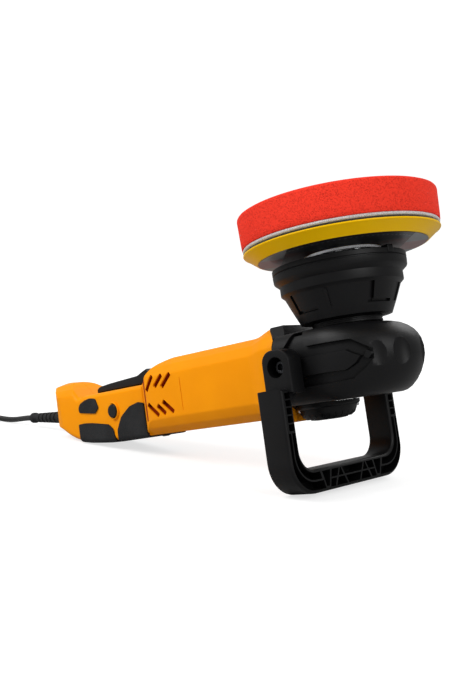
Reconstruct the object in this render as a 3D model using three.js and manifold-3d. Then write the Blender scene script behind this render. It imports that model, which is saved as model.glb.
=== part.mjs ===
// Corded dual-action polisher with a D-handle, standing as it rests on a bench:
// on the D-handle's bar and the heel of the rear grip, pad facing up.
// The tool is modelled along its own axes first: x runs forward along the motor,
// z runs up the spindle towards the pad, and the two axes cross at the origin.
import * as THREE from 'three';
import { mergeVertices } from 'three/addons/utils/BufferGeometryUtils.js';
import Module from 'manifold-3d';

const wasm = await Module();
wasm.setup();

// ---------------------------------------------------------------- driving dimensions, mm
const gap = 0.3; // clearance between pieces that touch

const head = {
  nose: 56.5, half: 45.5, top: 29, bottom: -25, wall: 3.5, round: 10,
  rear: -60, rearHalf: 33, shoulder: -44, crest: 37.7, crestFront: -40, flange: 33.5,
  flangeLength: 4.5,
};
const pivot = { x: -24, z: 4 }; // the D-handle's hinge axis, along y
const barrel = { half: 31.5, top: 33, bore: 28.3, flare: 35.5, flareLength: 7, rear: -234 };
const grip = { half: 24, wall: 3, round: 7, back: -384.6, top: 14.5, bottom: -33.6 };
const dHandle = {
  half: head.half + 24.75, arm: 11.75, bottom: -89.25, bar: 17.25, back: -38.7, front: -15.1,
  outerRound: 25, innerRound: 15, lugRadius: 13, armTop: -12,
  lugInner: head.half + 1.5, lugOuter: head.half + 16.5,
};
const shroud = { neck: 26.5, top: 78, rim: 51, base: 33.2, wall: 3 };
const plate = { back: 84.5, label: 64.8, rim: 75, thickness: 8.3 };
const pad = { hook: 1, loop: 2, foam: 24, radius: 75 };
const orbit = { x: 4.2, y: 1.4 }; // where the pad axis stands at rest
const shaft = { motor: 4, pinion: 2.7, spindle: 6 };
const gears = {
  pinionTeeth: 8, wheelTeeth: 32, wheelRadius: 29, face: 8,
  addendum: 1.2, dedendum: 1.9, blankDepth: 1.6, wheelTooth: 2.1, pinionTooth: 1.75, flank: 20,
};
const stator = { front: -118, rear: -170, radius: barrel.bore - 0.8, yoke: 2.9, pole: 17 };
const rotor = { front: -120, rear: -168, radius: 16.2 };
const commutator = { front: -181, rear: -193, radius: 11 };
const brush = {
  front: -183, rear: -191, half: 2.7, wall: 2.3, holderInner: 12.2, holderOuter: barrel.bore - 2.3,
};
const fanDisc = { front: -92, blade: 9, thickness: 1.5, hub: 8, radius: barrel.bore - 2.3 };
const bearing608 = { outer: 11, bore: 4, width: 7 }; // front armature bearing
const bearing607 = { outer: 9.5, bore: 3.5, width: 6 }; // rear armature and lower spindle bearings
const bearing6001 = { outer: 14, bore: 6, width: 8 }; // carrier bearing
const bearing6201 = { outer: 16, bore: 6, width: 10 }; // upper spindle bearing
const trigger = { rear: -308, front: -235.5, half: 9, low: 16, high: 24, lip: 28.6, stem: 1.8 };
const lockButton = { x: -265.5, z: -5.3, radius: 6.5, proud: 2.5 };
const dial = { x: -222.5, z: -26.5, radius: 9, half: 3 };
const relief = { back: grip.back + 1.6, length: 58, root: 6.4, tip: 5, z: -1.7, droop: 5, slack: 0.7 };
const cord = { diameter: 6.2 };
const coil = { x: -352, y: -60, turn: 37.2, columns: 3, layers: 3 }; // turn: radius of the middle turns
const plug = {
  x: -300, y: -115, z: 8.4, length: 42, width: 35, height: 16, nose: 18, pin: 2.4, pinLength: 19, pinGap: 19,
};

// The lead's route on the bench, from the strain relief to the coil and from the coil to the plug.
const cordRoute = [
  [-246.1, -1.4, 10.3], [-256, -1.4, 9.15], [-268, -1.4, 7.2], [-282, -1.4, 4.9], [-296, -1.5, 3.5],
  [-310, -1.9, 3.15], [-324, -2.4, 3.15], [-337, -3.4, 3.15], [-352.5, -3.6, 3.15], [-366.5, -6.9, 3.15],
  [-379.3, -14, 3.15], [-389.2, -23.6, 3.15], [-395.4, -35.1, 3.15],
];
const tailRoute = [
  [-364.9, -108.3, 15.4], [-352, -111.7, 14.2], [-340, -113.8, 12], [-329, -114.8, 9.6], [-318.4, -115, 8.45],
];

// ---------------------------------------------------------------- finishes
const finish = (colour, roughness, metalness = 0) => ({ colour, roughness, metalness });
const black = finish(0x1c1c1d, 0.5);
const rubber = finish(0x151515, 0.75);
const orange = finish(0xff9a10, 0.42);
const steel = finish(0xb9bcc0, 0.3, 1);
const darkSteel = finish(0x4a4d52, 0.4, 1);
const aluminium = finish(0xa5a8aa, 0.4, 1);
const copper = finish(0xb8652b, 0.35, 1);
const carbon = finish(0x222222, 0.6);
const yellow = finish(0xf6c300, 0.4);
const foamRed = finish(0xf04030, 0.95);
const white = finish(0xe8e6e2, 0.9);
const green = finish(0x1f6b3a, 0.5);

// ---------------------------------------------------------------- solids
const alongAxis = {
  x: new THREE.Matrix4().makeRotationZ(-Math.PI / 2),
  y: new THREE.Matrix4(),
  z: new THREE.Matrix4().makeRotationX(Math.PI / 2),
};

/** A closed geometry as a solid that can be cut and joined. */
function solid(geometry) {
  const bare = geometry.clone();
  bare.deleteAttribute('normal');
  bare.deleteAttribute('uv');
  const welded = mergeVertices(bare, 1e-4);
  const corners = welded.index.array;
  const kept = [];
  for (let i = 0; i < corners.length; i += 3) {
    const [a, b, c] = [corners[i], corners[i + 1], corners[i + 2]];
    if (a !== b && b !== c && c !== a) kept.push(a, b, c);
  }
  const vertProperties = Float32Array.from(welded.attributes.position.array);
  return new wasm.Manifold(new wasm.Mesh({ numProp: 3, vertProperties, triVerts: Uint32Array.from(kept) }));
}

/** Turns a profile of [radius, distance] points about a line along an axis through centre. */
function turned(profile, axis = 'z', segments = 24, centre = [0, 0, 0]) {
  const next = (i) => profile[(i + 1) % profile.length];
  const area = profile.reduce((sum, [r, t], i) => sum + r * next(i)[1] - next(i)[0] * t, 0);
  const points = (area < 0 ? [...profile].reverse() : [...profile]).map(([r, t]) => new THREE.Vector2(r, t));
  const touchesAxis = points[0].x === 0;
  if (!touchesAxis) points.push(points[0].clone());
  const geometry = new THREE.LatheGeometry(points, segments);
  return solid(geometry.applyMatrix4(alongAxis[axis]).translate(...centre));
}

const rod = (radius, from, to, axis = 'z', centre = [0, 0, 0], segments = 16) =>
  turned([[0, from], [radius, from], [radius, to], [0, to]], axis, segments, centre);

const ring = (inner, outer, from, to, axis = 'z', centre = [0, 0, 0], segments = 16) =>
  turned([[inner, from], [outer, from], [outer, to], [inner, to]], axis, segments, centre);

/** A box between two corners. */
function box(low, high) {
  const size = high.map((value, i) => value - low[i]);
  const centre = high.map((value, i) => (value + low[i]) / 2);
  return solid(new THREE.BoxGeometry(...size).translate(...centre));
}

const planes = {
  xy: new THREE.Matrix4(),
  yz: new THREE.Matrix4().set(0, 0, 1, 0, 1, 0, 0, 0, 0, 1, 0, 0, 0, 0, 0, 1),
  xz: new THREE.Matrix4().set(1, 0, 0, 0, 0, 0, -1, 0, 0, 1, 0, 0, 0, 0, 0, 1),
};

/** Extrudes an outline in a plane between two stations on the third axis, edges rounded inwards. */
function slab(shape, plane, from, to, round = 0, inset = 0, curveSegments = 6) {
  const [start, end] = plane === 'xz' ? [-to, -from] : [from, to];
  const bevelled = round > 0 || inset > 0;
  const geometry = new THREE.ExtrudeGeometry(shape, {
    depth: end - start - 2 * round, curveSegments, bevelEnabled: bevelled, bevelSegments: round > 3 ? 2 : 1,
    bevelThickness: round, bevelSize: round, bevelOffset: -round - inset,
  });
  geometry.translate(0, 0, start + round);
  return solid(geometry.applyMatrix4(planes[plane]));
}

/** A flat outline through corner points. */
function outline(points) {
  return new THREE.Shape(points.map(([x, y]) => new THREE.Vector2(x, y)));
}

const unite = (...solids) => solids.reduce((whole, next) => whole.add(next));
const cut = (whole, ...tools) => tools.reduce((left, tool) => left.subtract(tool), whole);

/** A named mesh of one solid in its finish. */
function piece(name, body, { colour, roughness, metalness }) {
  const { numProp, vertProperties, triVerts } = body.getMesh();
  const geometry = new THREE.BufferGeometry();
  const positions = new THREE.InterleavedBuffer(Float32Array.from(vertProperties), numProp);
  geometry.setAttribute('position', new THREE.InterleavedBufferAttribute(positions, 3, 0));
  geometry.setIndex(new THREE.BufferAttribute(Uint32Array.from(triVerts), 1));
  geometry.computeVertexNormals();
  const material = new THREE.MeshStandardMaterial({ color: colour, roughness, metalness });
  const mesh = new THREE.Mesh(geometry, material);
  mesh.name = name;
  return mesh;
}

const sides = [['left', -1], ['right', 1]]; // left is the side at -y

// ---------------------------------------------------------------- gear head
/** The head seen along the spindle: an elliptical nose and cheeks that narrow to the motor. */
function headOutline() {
  const shape = new THREE.Shape();
  const rear = head.rear + gap / 2;
  shape.moveTo(rear, -head.rearHalf);
  shape.lineTo(head.shoulder, -head.half);
  shape.lineTo(0, -head.half);
  shape.absellipse(0, 0, head.nose, head.half, -Math.PI / 2, Math.PI / 2, false);
  shape.lineTo(head.shoulder, head.half);
  shape.lineTo(rear, head.rearHalf);
  return shape;
}

/** The raised block behind the nose, seen along the motor. */
function crestOutline() {
  const low = -head.rearHalf / 3;
  const chamfer = head.crest * 0.27;
  const half = [
    [head.rearHalf, low], [head.rearHalf, head.crest - 1.5 * chamfer], [head.rearHalf - chamfer, head.crest],
  ];
  return outline([...half, ...half.map(([y, z]) => [-y, z]).reverse()]);
}

const cover = { x: -30, radius: 25, flange: 3, crown: 38.5, dome: 20.5 };
const retainer = { radius: 20, low: head.top - 14, high: head.top };
const bearingPlate = { front: -38, rear: -52, radius: 21.6 };
const lowerBearing = { low: head.bottom + head.wall + 0.5 };
const coverScrew = { circle: cover.radius - 3.5, radius: 1.5, head: 2.8, tip: -17 };
const coverScrewPlaces = [1, 5].map((eighth) => {
  const angle = (eighth * Math.PI) / 4;
  return [cover.x + coverScrew.circle * Math.cos(angle), coverScrew.circle * Math.sin(angle)];
});
const boss = { outer: bearing607.outer + gap + 3, top: lowerBearing.low + bearing607.width - 0.5 };

function gearHousing() {
  const floor = head.bottom + head.wall;
  const shell = unite(
    slab(headOutline(), 'xy', head.bottom, head.top, head.round, 0, 11),
    slab(crestOutline(), 'yz', head.rear + gap / 2, head.crestFront, 3),
    rod(head.flange, head.rear + gap / 2, head.rear + head.flangeLength, 'x', [0, 0, 0], 28),
  );
  const front = bearingPlate.front;
  const chamber = cut(
    slab(headOutline(), 'xy', floor, head.top - head.wall, 3, head.wall, 8),
    box([head.rear - 5, -60, -60], [front, 60, 60]),
    rod(boss.outer, floor - 1, boss.top),
  );
  const bolts = sides.map(([, side]) =>
    rod(3 + gap, side > 0 ? head.half - 10 : -head.half - 5, side > 0 ? head.half + 5 : -head.half + 10,
      'y', [pivot.x, 0, pivot.z], 16));
  const coverHoles = coverScrewPlaces.map(([x, y]) =>
    rod(coverScrew.radius + gap, head.bottom - 1, coverScrew.tip + 1, 'z', [x, y, 0], 10));
  return cut(
    shell, chamber,
    rod(bearing607.outer + gap, lowerBearing.low - gap, boss.top + 1, 'z'),
    rod(retainer.radius + gap, head.top - head.wall - 1, head.top + 1, 'z', [0, 0, 0], 24),
    rod(bearingPlate.radius + gap, head.rear - 5, front + 1, 'x', [0, 0, 0], 24),
    rod(barrel.bore + 0.7, head.rear - 5, head.rear + head.flangeLength - 1, 'x', [0, 0, 0], 24),
    rod(cover.radius - 13, head.bottom - 1, floor + 1, 'z', [cover.x, 0, 0], 24),
    ...bolts, ...coverHoles,
  );
}

function headCover() {
  const top = head.bottom - gap;
  const profile = [
    [0, top], [cover.radius, top], [cover.radius, top - cover.flange], [cover.dome, top - cover.flange - 1.5],
    [cover.dome - 3, -cover.crown + 3], [cover.dome - 9, -cover.crown], [0, -cover.crown],
  ];
  const holes = coverScrewPlaces.map(([x, y]) =>
    rod(coverScrew.radius + gap, top - 8, top + 1, 'z', [x, y, 0], 10));
  const seats = coverScrewPlaces.map(([x, y]) =>
    rod(coverScrew.head + gap, top - 12, top - cover.flange, 'z', [x, y, 0], 12));
  return cut(turned(profile, 'z', 24, [cover.x, 0, 0]), ...holes, ...seats);
}

function coverScrewAt([x, y]) {
  const seat = head.bottom - gap - cover.flange - gap;
  const { radius, head: wide, tip } = coverScrew;
  const cap = [[0, seat - 2.2], [wide - 0.6, seat - 2.2], [wide, seat - 1.4], [wide, seat]];
  return turned([...cap, [radius, seat], [radius, tip], [0, tip]], 'z', 12, [x, y, 0]);
}

// ---------------------------------------------------------------- bevel gears
const ratio = gears.wheelTeeth / gears.pinionTeeth;
const pinionRadius = gears.wheelRadius / ratio;
const coneLength = Math.hypot(gears.wheelRadius, pinionRadius);
const innerShare = (coneLength - gears.face) / coneLength;

/** The blank's facets, so that every tooth stands in the middle of one. */
const blankFacets = (teeth) => (teeth > 12 ? teeth : 2 * teeth);

/** A straight bevel gear about +z, its pitch cone opening from a tip at the origin. */
function bevelGear({ teeth, pitchRadius, tooth, bore, back, hub }) {
  const cone = Math.asin(pitchRadius / coneLength);
  const along = new THREE.Vector3(Math.sin(cone), 0, Math.cos(cone));
  const out = new THREE.Vector3(Math.cos(cone), 0, -Math.sin(cone));
  const half = (height) => tooth / 2 - height * Math.tan(THREE.MathUtils.degToRad(gears.flank));
  const { addendum, dedendum, blankDepth } = gears;
  const section = outline([[-half(-dedendum), -dedendum], [half(-dedendum), -dedendum],
    [half(addendum), addendum], [-half(addendum), addendum]]);
  const blade = new THREE.ExtrudeGeometry(section, { depth: 1, bevelEnabled: false });
  const place = blade.attributes.position;
  for (let i = 0; i < place.count; i++) {
    const share = place.getZ(i) > 0.5 ? 1 : innerShare;
    const point = along.clone().multiplyScalar(coneLength).addScaledVector(out, place.getY(i));
    point.y = -place.getX(i);
    point.multiplyScalar(share);
    place.setXYZ(i, point.x, point.y, point.z);
  }
  const root = along.clone().multiplyScalar(coneLength).addScaledVector(out, -blankDepth);
  const inner = root.clone().multiplyScalar(innerShare);
  const profile = [[bore, inner.z], [inner.x, inner.z], [root.x, root.z], [root.x, back]];
  if (hub) profile.push([hub.radius, back], [hub.radius, hub.end]);
  profile.push([bore, hub ? hub.end : back]);
  const facets = blankFacets(teeth);
  const blades = Array.from({ length: teeth }, (_, i) =>
    solid(blade.clone().rotateZ((2 * Math.PI * i) / teeth + Math.PI / facets)));
  return cut(unite(turned(profile, 'z', facets), ...blades), rod(bore, inner.z - 5, back + 5));
}

/** A solid moved by a matrix, through its mesh. */
function moved(body, matrix) {
  return body.transform(matrix.toArray());
}

function bevelWheel() {
  const gear = bevelGear({
    teeth: gears.wheelTeeth, pitchRadius: gears.wheelRadius, tooth: gears.wheelTooth,
    bore: shaft.spindle + gap, back: 11, hub: { radius: 11, end: 13.2 },
  });
  const halfTooth = Math.PI / gears.wheelTeeth; // a gap, not a tooth, faces the pinion
  const facetShift = Math.PI / blankFacets(gears.wheelTeeth);
  const phase = new THREE.Matrix4().makeRotationZ(halfTooth - facetShift);
  return moved(gear, new THREE.Matrix4().makeRotationX(Math.PI).multiply(phase));
}

function pinion() {
  const gear = bevelGear({
    teeth: gears.pinionTeeth, pitchRadius: pinionRadius, tooth: gears.pinionTooth,
    bore: shaft.pinion + gap, back: 33,
  });
  const phase = new THREE.Matrix4().makeRotationZ(Math.PI - Math.PI / blankFacets(gears.pinionTeeth));
  return moved(gear, new THREE.Matrix4().makeRotationY(-Math.PI / 2).multiply(phase));
}

// ---------------------------------------------------------------- spindle and pad
const carrier = {
  low: shroud.base + 4.5, floor: 50, high: 63, radius: 18, lobe: 34, lobeLow: 44, lobeHigh: 57,
};

function spindle() {
  const upper = retainer.low + bearing6201.width + gap;
  return turned([
    [0, lowerBearing.low], [bearing607.bore, lowerBearing.low], [bearing607.bore, boss.top + 0.8],
    [shaft.spindle, boss.top + 0.8], [shaft.spindle, upper], [shaft.spindle + 2, upper + gap],
    [shaft.spindle + 2, carrier.low - gap], [shaft.spindle, carrier.low - gap],
    [shaft.spindle, carrier.low + 8], [0, carrier.low + 8],
  ]);
}

function eccentricCarrier() {
  const away = Math.atan2(-orbit.y, -orbit.x);
  const reach = Math.PI / 2.4;
  const lobe = new THREE.Shape();
  lobe.absarc(0, 0, carrier.lobe, away - reach, away + reach, false);
  lobe.absarc(0, 0, 12, away + reach, away - reach, true);
  return cut(
    unite(rod(carrier.radius, carrier.low, carrier.high, 'z', [orbit.x, orbit.y, 0], 24),
      slab(lobe, 'xy', carrier.lobeLow, carrier.lobeHigh)),
    rod(shaft.spindle + gap, carrier.low - 1, carrier.low + 8 + gap),
    rod(bearing6001.outer + gap, carrier.floor, carrier.high + 1, 'z', [orbit.x, orbit.y, 0], 24),
  );
}

const padShaft = { low: carrier.floor + 1, flangeLow: 75.5, flange: 12, flangeHigh: 79.6 };
const padBolt = { radius: 4, tip: 66, head: 7, seat: plate.back + 3.5 };

function padShaftSolid() {
  const { low, flangeLow, flange, flangeHigh } = padShaft;
  return turned([
    [0, low], [bearing6001.bore - gap, low], [bearing6001.bore - gap, carrier.floor + bearing6001.width + 1],
    [8, carrier.floor + bearing6001.width + 1], [8, flangeLow], [flange, flangeLow], [flange, flangeHigh],
    [padBolt.radius + gap, flangeHigh], [padBolt.radius + gap, padBolt.tip - gap], [0, padBolt.tip - gap],
  ]);
}

const hubLugs = 12;

function plateHub() {
  const { flangeHigh } = padShaft;
  const body = ring(padBolt.radius + gap, 25, flangeHigh + gap, plate.back - gap - 0.4, 'z', [0, 0, 0], 24);
  const lugs = Array.from({ length: hubLugs }, (_, i) => {
    const lug = new THREE.BoxGeometry(4, 3, plate.back - flangeHigh - 2 * gap - 0.4);
    lug.translate(26, 0, (plate.back - gap - 0.4 + flangeHigh + gap) / 2);
    return solid(lug.rotateZ((2 * Math.PI * i) / hubLugs));
  });
  return unite(body, ...lugs);
}

function backingPlate() {
  const low = plate.back + 0.4;
  const high = plate.back + plate.thickness;
  return turned([
    [padBolt.radius + gap, low], [plate.label, low], [plate.rim - 0.6, high - 2], [plate.rim, high - 1.2],
    [plate.rim, high], [30, high], [26, padBolt.seat], [padBolt.radius + gap, padBolt.seat],
  ], 'z', 36);
}

function padBoltSolid() {
  const { radius, tip, head: wide, seat } = padBolt;
  const [under, over] = [seat + gap, seat + 3.8];
  return turned([[0, tip], [radius, tip], [radius, under], [wide, under], [wide, over], [0, over]]);
}

const hookLow = plate.back + plate.thickness + gap;
const loopLow = hookLow + pad.hook + gap;
const foamLow = loopLow + pad.loop + gap;

function foamPad() {
  const high = foamLow + pad.foam;
  return turned([
    [0, foamLow], [pad.radius, foamLow], [pad.radius + 0.6, foamLow + pad.foam / 2], [pad.radius, high - 4],
    [pad.radius - 1.5, high - 1], [pad.radius - 4, high], [0, high],
  ], 'z', 36);
}

// ---------------------------------------------------------------- shroud
/** The collar that holds the upper spindle bearing in the head and carries the shroud. */
function bearingCollar() {
  const seatTop = retainer.low + bearing6201.width + gap;
  return turned([
    [bearing6201.outer + gap, retainer.low], [retainer.radius, retainer.low], [retainer.radius, head.top + gap],
    [shroud.neck, head.top + gap], [shroud.neck, shroud.base - gap], [10, shroud.base - gap],
    [10, seatTop], [bearing6201.outer + gap, seatTop],
  ], 'z', 24);
}

function shroudSolid() {
  const outer = [
    [shroud.neck + 0.5, shroud.base], [35.2, 36], [38.6, 43], [44, 55.4], [46.7, 57.6], [46.7, 65],
    [shroud.rim - 0.3, 68], [shroud.rim, shroud.top],
  ];
  const inner = [[shroud.rim - shroud.wall, shroud.top], [shroud.rim - shroud.wall, 70], [43.5, 66],
    [43.5, 59], [41, 56.5], [35.4, 43], [32.6, shroud.base + shroud.wall], [13, shroud.base + shroud.wall],
    [13, shroud.base]];
  return turned([...outer, ...inner], 'z', 24);
}

// ---------------------------------------------------------------- motor
function motorHousing() {
  const { half, top, bore, flare, flareLength, rear } = barrel;
  const flat = top * 0.6;
  const crown = half * 0.58;
  const corners = [[half, flat], [crown + 5, top - 4.5], [crown - 4, top]];
  const upper = [...corners, ...corners.map(([y, z]) => [-y, z]).reverse()];
  const section = outline([...upper, ...upper.map(([y, z]) => [-y, -z])]);
  const front = head.rear - gap / 2;
  const slots = [];
  for (const [, side] of sides) {
    for (const level of [1, -1]) {
      for (let i = 0; i < 3; i++) {
        const slot = new THREE.BoxGeometry(3, 12, 12).rotateY(level * Math.PI / 4.5);
        slots.push(solid(slot.translate(-177.5 - 10.5 * i, side * half, level * 13.5)));
      }
    }
  }
  const rim = outline([[dial.x - dial.radius - 1, 0], [dial.x + dial.radius + 1, 0],
    [dial.x + dial.radius + 1, -top - 2], [dial.x - dial.radius - 1, -top - 2]]);
  return cut(
    slab(section, 'yz', rear + gap / 2, front).add(rod(flare, front - flareLength, front, 'x', [0, 0, 0], 28)),
    rod(bore, rear - 1, front + 1, 'x', [0, 0, 0], 28),
    slab(rim, 'xz', -dial.half - 0.6, dial.half + 0.6), ...slots,
  );
}

/** A sector of a tube along x, its middle at an angle from the y axis. */
function sector(inner, outer, halfAngle, middle, from, to) {
  const shape = new THREE.Shape();
  shape.absarc(0, 0, outer, middle - halfAngle, middle + halfAngle, false);
  shape.absarc(0, 0, inner, middle + halfAngle, middle - halfAngle, true);
  return slab(shape, 'yz', from, to);
}

const coilSpan = THREE.MathUtils.degToRad(64);
const windowSpan = THREE.MathUtils.degToRad(36);

function statorCore() {
  const { front, rear, radius, pole } = stator;
  const inner = radius - stator.yoke;
  const poles = [Math.PI / 2, -Math.PI / 2].map((middle) =>
    sector(pole, inner + 0.4, windowSpan - 0.06, middle, rear, front));
  return unite(ring(inner, radius, rear, front, 'x', [0, 0, 0], 28), ...poles);
}

function fieldCoil(middle) {
  const { front, rear, radius, yoke, pole } = stator;
  return cut(
    sector(pole + 1, radius - yoke - 0.4, coilSpan, middle, rear - 7, front + 7),
    sector(pole - 1, radius - 1.5, windowSpan, middle, rear - gap, front + gap),
  );
}

const fanBlades = 7;

function fan() {
  const { front, hub, radius } = fanDisc;
  const blades = Array.from({ length: fanBlades }, (_, i) => {
    const blade = new THREE.BoxGeometry(fanDisc.blade, radius - 1 - hub, 1.2);
    blade.translate(front + 1 - fanDisc.blade / 2, (radius - 1 + hub) / 2, 0);
    return solid(blade.rotateX((2 * Math.PI * i) / fanBlades));
  });
  const disc = ring(hub, radius, front - fanDisc.thickness, front, 'x', [0, 0, 0], 24);
  const centre = ring(shaft.motor + gap, hub + 1, front - 12, front, 'x');
  return cut(unite(centre, disc, ...blades), rod(shaft.motor + gap, front - 18, front + 7, 'x'));
}

function armatureShaft() {
  const { motor, pinion: fine } = shaft;
  const neck = bearingPlate.front;
  return turned([
    [0, -207], [bearing607.bore - gap, -207], [bearing607.bore - gap, -197], [motor, -197],
    [motor, bearingPlate.rear + 2], [bearing608.bore - gap, bearingPlate.rear + 2],
    [bearing608.bore - gap, neck + 1], [fine, neck + 1], [fine, -20.8], [0, -20.8],
  ], 'x', 20);
}

function bearingPlateSolid() {
  const { front, rear, radius } = bearingPlate;
  const pocket = front - bearing608.width - 1;
  return cut(rod(radius, rear, front, 'x', [0, 0, 0], 24),
    rod(bearing608.outer + gap, pocket, front + 1, 'x'), rod(shaft.motor + 3, rear - 1, front, 'x'));
}

function bearing({ outer, bore, width }, from, axis, centre = [0, 0, 0]) {
  return ring(bore, outer, from, from + width, axis, centre, 16);
}

function rearBracket() {
  const body = unite(rod(barrel.bore - gap, -209, -206, 'x', [0, 0, 0], 24), rod(13, -208, -198.4, 'x'));
  return cut(body, rod(bearing607.outer + gap, -205.8, -190, 'x'), rod(bearing607.bore + 1, -212, -200, 'x'));
}

function brushHolder(side) {
  const { front, rear, half, wall, holderInner, holderOuter } = brush;
  const across = (near, far) => (side > 0 ? [near, far] : [-far, -near]);
  const [low, high] = across(holderInner, holderOuter);
  const [slotLow, slotHigh] = across(holderInner - 2, holderOuter + 2);
  return cut(
    box([rear - gap - wall, low, -half - wall], [front + gap + wall, high, half + wall]),
    box([rear - gap, slotLow, -half - gap], [front + gap, slotHigh, half + gap]),
  );
}

function carbonBrush(side) {
  const near = commutator.radius + gap;
  const far = brush.holderOuter - 2.7;
  const [low, high] = side > 0 ? [near, far] : [-far, -near];
  return box([brush.rear, low, -brush.half], [brush.front, high, brush.half]);
}

// ---------------------------------------------------------------- rear grip
/** The grip seen from the side, from its seam with the motor housing round the tail. */
function gripOutline() {
  const front = barrel.rear - gap / 2;
  const shape = new THREE.Shape();
  shape.moveTo(front, grip.bottom);
  shape.lineTo(-261, grip.bottom);
  shape.splineThru([[91.6, -32.4], [60.6, -29.6], [36.6, -26], [22.6, -22], [10.6, -13], [2.6, -3],
    [0, 6], [2.6, 20], [14.6, 28.5], [32.6, 32], [46.6, 28.5], [55.6, 20], [63.6, 10],
    [72.6, grip.top]].map(([ahead, z]) => new THREE.Vector2(grip.back + ahead, z)));
  shape.lineTo(front, grip.top);
  return shape;
}

const innards = {
  switch: [[-292, -8, -14], [-246, 8, 11]],
  board: [[-330, -12, -22], [-300, 12, -19]],
};

function gripShell() {
  const { half, wall, round } = grip;
  const shape = gripOutline();
  const front = barrel.rear - gap / 2;
  const side = trigger.half + 0.6;
  const lid = box([trigger.rear - 1, -side, grip.top - 8], [trigger.front + 1, side, 40]);
  return cut(
    slab(shape, 'xz', -half, half, round, 0, 2),
    slab(shape, 'xz', -half + wall, half - wall, round - wall, wall, 2),
    lid,
    rod(14, front - 10, front + 1, 'x', [0, 0, -8], 24),
    rod(lockButton.radius + gap, -half - 1, 0, 'y', [lockButton.x, 0, lockButton.z], 20),
    rod(relief.root + gap + relief.slack, grip.back - 15, grip.back + 14.6, 'x', [0, 0, relief.z], 16),
  );
}

const gripScrewPlaces = [[grip.back + 39.6, 16], [grip.back + 39.6, -14]];
const gripScrew = {
  radius: 1.5, head: 3.2, headLength: 2.2, post: 4.5, seat: grip.half - 3, tip: -grip.half + 4,
};

function gripHalf(side) {
  const [low, high] = side > 0 ? [gap / 2, 60] : [-60, -gap / 2];
  const { half } = grip;
  const posts = gripScrewPlaces.map(([x, z]) => {
    const [from, to] = side > 0 ? [gap / 2, half - 2] : [-half + 2, -gap / 2];
    return rod(gripScrew.post, from, to, 'y', [x, 0, z], 12);
  });
  const holes = gripScrewPlaces.flatMap(([x, z]) => [
    rod(gripScrew.radius + gap, gripScrew.tip - 1, half + 1, 'y', [x, 0, z], 10),
    rod(gripScrew.head + gap, gripScrew.seat, half + 1, 'y', [x, 0, z], 12),
  ]);
  const share = gripShell().intersect(box([grip.back - 60, low, -100], [-200, high, 100]));
  return cut(unite(share, ...posts), ...holes);
}

function gripScrewAt([x, z]) {
  const { radius, head: wide, headLength, tip } = gripScrew;
  const seat = gripScrew.seat + gap;
  const end = seat + headLength;
  const profile = [[0, tip], [radius, tip], [radius, seat], [wide, seat], [wide, end], [0, end]];
  return turned(profile, 'y', 12, [x, 0, z]);
}

const rubberThickness = 1.2;
const below = grip.bottom - 10;
const rubberAreas = { // seen from the side; the last two wrap under the grip to the other side
  heel: [[-319, -1.6], [-319, 3.3], [-316, 7], [-300, 10.6], [-291, 9.1], [-287.6, 0.2], [-293.5, -4.8]],
  palm: [[-322, below], [-322, -13], [-300, -13.5], [-275, -17], [-267, -25], [-264, below]],
  front: [[-262.5, below], [-261.6, -23.7], [-254, -12], [-240, -3.5], [-236.5, -2.4], [-236.5, below]],
};

function cordClamp() {
  const low = [grip.back + 16.6, -10, relief.z - 8];
  const high = [grip.back + 24.6, 10, relief.z + 5];
  const hole = rod(cord.diameter / 2 + 0.6, low[0] - 5, high[0] + 5, 'x', [0, 0, relief.z], 14);
  return cut(box(low, high), hole);
}

/** A rubber skin on the grip, cut to an area seen from the side. */
function gripRubber(area, from, to) {
  const shape = gripOutline();
  const reach = gap + rubberThickness;
  const skin = cut(
    slab(shape, 'xz', -grip.half - reach, grip.half + reach, grip.round, -reach, 2),
    slab(shape, 'xz', -grip.half - gap, grip.half + gap, grip.round, -gap, 2),
  );
  return skin.intersect(slab(outline(area), 'xz', from, to));
}

// ---------------------------------------------------------------- D-handle
function handleOutline() {
  const { half, arm, bottom, bar, outerRound, innerRound, lugInner, lugOuter, armTop } = dHandle;
  const inner = half - arm;
  const shape = new THREE.Shape();
  shape.moveTo(-lugInner, -3);
  shape.lineTo(-lugOuter, -3);
  shape.lineTo(-half, armTop);
  shape.lineTo(-half, bottom + outerRound);
  shape.absarc(-half + outerRound, bottom + outerRound, outerRound, Math.PI, 1.5 * Math.PI, false);
  shape.absarc(half - outerRound, bottom + outerRound, outerRound, 1.5 * Math.PI, 2 * Math.PI, false);
  shape.lineTo(half, armTop);
  shape.lineTo(lugOuter, -3);
  shape.lineTo(lugInner, -3);
  shape.lineTo(lugInner, armTop);
  shape.lineTo(inner, armTop - 11);
  shape.absarc(inner - innerRound, bottom + bar + innerRound, innerRound, 2 * Math.PI, 1.5 * Math.PI, true);
  shape.absarc(-inner + innerRound, bottom + bar + innerRound, innerRound, 1.5 * Math.PI, Math.PI, true);
  shape.lineTo(-inner, armTop - 11);
  shape.lineTo(-lugInner, armTop);
  return shape;
}

const handleBolt = {
  radius: 3, head: 5, headLength: 5.2, recess: 7.7, seat: dHandle.lugInner + 9, tip: head.half - 9.5,
};

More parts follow.
